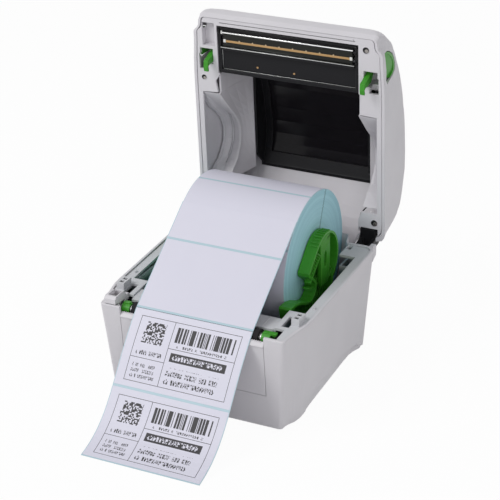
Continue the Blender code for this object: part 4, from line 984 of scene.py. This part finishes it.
def holder_face(bm, side, low, high):
    """Ribs, hatched pad, keyhole bridge and ladder on the outer face."""
    outer = (high[0] if side > 0 else -low[0]) / MM
    inner = outer - 11.3

    def xs(a, b):
        return sorted((side * a, side * b))

    cy, cz, r = HOLDER_HEAD
    for k in range(9):
        a = math.radians(131 - 7.2 * k)
        y, z = cy + r * math.cos(a), cz + r * math.sin(a)
        out = (y + 0.7 * math.cos(a), z + 0.7 * math.sin(a))
        into = (y - 0.8 * math.cos(a), z - 0.8 * math.sin(a))
        stroke(bm, into, out, 1.1, *xs(inner + 3.4, outer - 0.6))
    top, deep = outer - 0.4, outer - 2.8
    across_prism(bm, [(37.0, 126.0), (46.0, 128.4), (46.0, 84.0), (40.5, 84.0)],
                 *xs(deep, top))
    across_prism(bm, [(51.0, 129.0), (57.5, 127.6), (58.6, 96.0), (55.0, 84.0),
                      (51.0, 84.0)], *xs(deep, top))
    across_prism(bm, [(46.0, 128.4), (51.0, 129.0), (51.0, 112.5), (48.5, 116.0),
                      (46.0, 112.5)], *xs(deep, top))
    across_prism(bm, [(46.0, 102.5), (47.4, 99.6), (49.6, 99.6), (51.0, 102.5),
                      (51.0, 84.0), (46.0, 84.0)], *xs(deep, top))
    for k in range(10):
        z = 116.5 + 1.35 * k
        low_end = (38.2 + max(0.0, z - 123.0) * 0.2, z - 3.0)
        stroke(bm, low_end, (56.6, z + 4.4 if z < 120 else min(z + 4.4, 127.0)),
               0.55, *xs(top - 0.1, top + 0.3))
    stroke(bm, (40.4, 112.0), (41.6, 85.0), 1.0, *xs(deep - 1.5, top + 0.3))
    stroke(bm, (37.2, 115.0), (16.4, 97.4), 1.1, *xs(deep - 3.0, top + 0.2))
    stroke(bm, (30.6, 119.4), (37.4, 114.4), 1.1, *xs(deep - 3.0, top + 0.2))
    for k in range(9):
        t = 0.08 + 0.1 * k
        a = (31.0 - 17.4 * t, 119.0 - 15.0 * t)
        b = (37.2 - 20.8 * t, 115.0 - 17.6 * t)
        stroke(bm, a, b, 0.5, *xs(deep - 3.0, top - 0.9))
    stroke(bm, (58.4, 97.0), (63.0, 91.6), 0.9, *xs(deep - 2.0, top))
    stroke(bm, (63.0, 91.6), (56.6, 86.6), 0.9, *xs(deep - 2.0, top))
    stroke(bm, (20.0, 90.4), (36.0, 88.8), 1.4, *xs(inner + 2.0, deep + 0.6))


def make_holder_faces(finishes):
    """Ribbed outer face and bright pin of both roll holders."""
    for side, name in ((1, "right"), (-1, "left")):
        low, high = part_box(f"holder_{name}")
        bm = bmesh.new()
        holder_face(bm, side, low, high)
        body = NODES[f"holder_{name}"]["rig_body"]
        face = piece_from(f"holder_ribs_{name}", bm, body, "green",
                          (finishes["green"],))
        sharpen(face, 30)
        bm = bmesh.new()
        outer = (high[0] if side > 0 else -low[0]) / MM
        y, z, r = HOLDER_PIN
        ring = [(y + r * math.cos(k * math.pi / 8),
                 z + r * math.sin(k * math.pi / 8)) for k in range(16)]
        across_prism(bm, ring, *sorted((side * (outer - 9.0), side * (outer - 2.2))))
        pin = piece_from(f"holder_pin_{name}", bm, body, "steel",
                         (finishes["bright"],))
        sharpen(pin, 30)


def matt(finish, level):
    shader = finish.node_tree.nodes["Principled BSDF"]
    shader.inputs["Specular IOR Level"].default_value = level


# ------------------------------------------------------------ camera and room
def set_camera():
    data = bpy.data.cameras.new("camera")
    data.lens = 122.9
    data.sensor_width = 36.0
    camera = bpy.data.objects.new("camera", data)
    camera.location = (0.57663, -1.19689, 0.71147)
    turn = Matrix.Rotation(math.radians(25.288), 4, 'Z')
    tilt = Matrix.Rotation(math.radians(90.0 - 24.046), 4, 'X')
    roll = Matrix.Rotation(math.radians(0.17), 4, 'Z')
    camera.rotation_euler = (turn @ tilt @ roll).to_euler()
    bpy.context.scene.collection.objects.link(camera)
    bpy.context.scene.camera = camera


def area_lamp(name, place, aim, size, power):
    data = bpy.data.lights.new(name, 'AREA')
    data.shape = 'DISK'
    data.size = size
    data.energy = power
    lamp = bpy.data.objects.new(name, data)
    lamp.location = place
    lamp.rotation_euler = (Vector(place) - Vector(aim)).to_track_quat('Z', 'Y').to_euler()
    bpy.context.scene.collection.objects.link(lamp)


def see_white(tree, shader, share):
    """Mix a shader with plain white where the camera or a reflection looks."""
    path = tree.nodes.new("ShaderNodeLightPath")
    seen = path.outputs["Is Camera Ray"]
    for kind in ("Is Glossy Ray", "Is Transmission Ray"):
        seen = sum_of(tree, 'MAXIMUM', seen, path.outputs[kind])
    amount = sum_of(tree, 'MULTIPLY', seen, share)
    white = tree.nodes.new("ShaderNodeEmission" if share < 1 else "ShaderNodeBackground")
    white.inputs["Color"].default_value = (1, 1, 1, 1)
    white.inputs["Strength"].default_value = 1.0
    mix = tree.nodes.new("ShaderNodeMixShader")
    tree.links.new(amount, mix.inputs[0])
    tree.links.new(shader.outputs[0], mix.inputs[1])
    tree.links.new(white.outputs[0], mix.inputs[2])
    return mix


def set_room():
    world = bpy.data.worlds.new("studio")
    bpy.context.scene.world = world
    world.use_nodes = True
    tree = world.node_tree
    sky = tree.nodes["Background"]
    sky.inputs["Color"].default_value = (0.97, 0.98, 1.0, 1)
    sky.inputs["Strength"].default_value = 0.45
    mix = see_white(tree, sky, 1.0)
    tree.links.new(mix.outputs[0], tree.nodes["World Output"].inputs["Surface"])

    floor_mesh = bpy.data.meshes.new("floor")
    reach = 6.0
    floor_mesh.from_pydata([(-reach, -reach, 0), (reach, -reach, 0), (reach, reach, 0),
                            (-reach, reach, 0)], [], [(0, 1, 2, 3)])
    floor = bpy.data.objects.new("floor", floor_mesh)
    bpy.context.scene.collection.objects.link(floor)
    material, tree, shader = new_finish("pale_floor")
    shader.inputs["Base Color"].default_value = (0.9, 0.9, 0.9, 1)
    shader.inputs["Roughness"].default_value = 0.9
    mix = see_white(tree, shader, 0.96)
    tree.links.new(mix.outputs[0], tree.nodes["Material Output"].inputs["Surface"])
    floor_mesh.materials.append(material)

    area_lamp("key", (-0.9, -1.1, 1.5), (0.0, 0.0, 0.1), 0.9, 15.5)
    area_lamp("fill", (1.5, -0.4, 0.9), (0.0, 0.0, 0.12), 1.2, 1.5)
    area_lamp("front", (0.9, -1.7, 0.6), (0.0, 0.0, 0.12), 0.7, 2.2)
    bpy.context.scene.view_settings.view_transform = 'Standard'


FINISHES = make_finishes()
paint_frame(FINISHES)
make_web()
make_print_head(FINISHES)
make_head_frame(FINISHES)
make_lid_holes(FINISHES)
make_front_ribs(FINISHES)
make_guide_dashes(FINISHES)
make_holder_faces(FINISHES)
make_rim_seams(FINISHES)
make_painted_slot_shade(FINISHES)
for dark in ("black", "plate", "smoked", "gloss_black", "board_dark", "rubber", "slot_shade"):
    matt(FINISHES[dark], 0.14)
matt(FINISHES["green"], 0.3)
set_camera()
set_room()
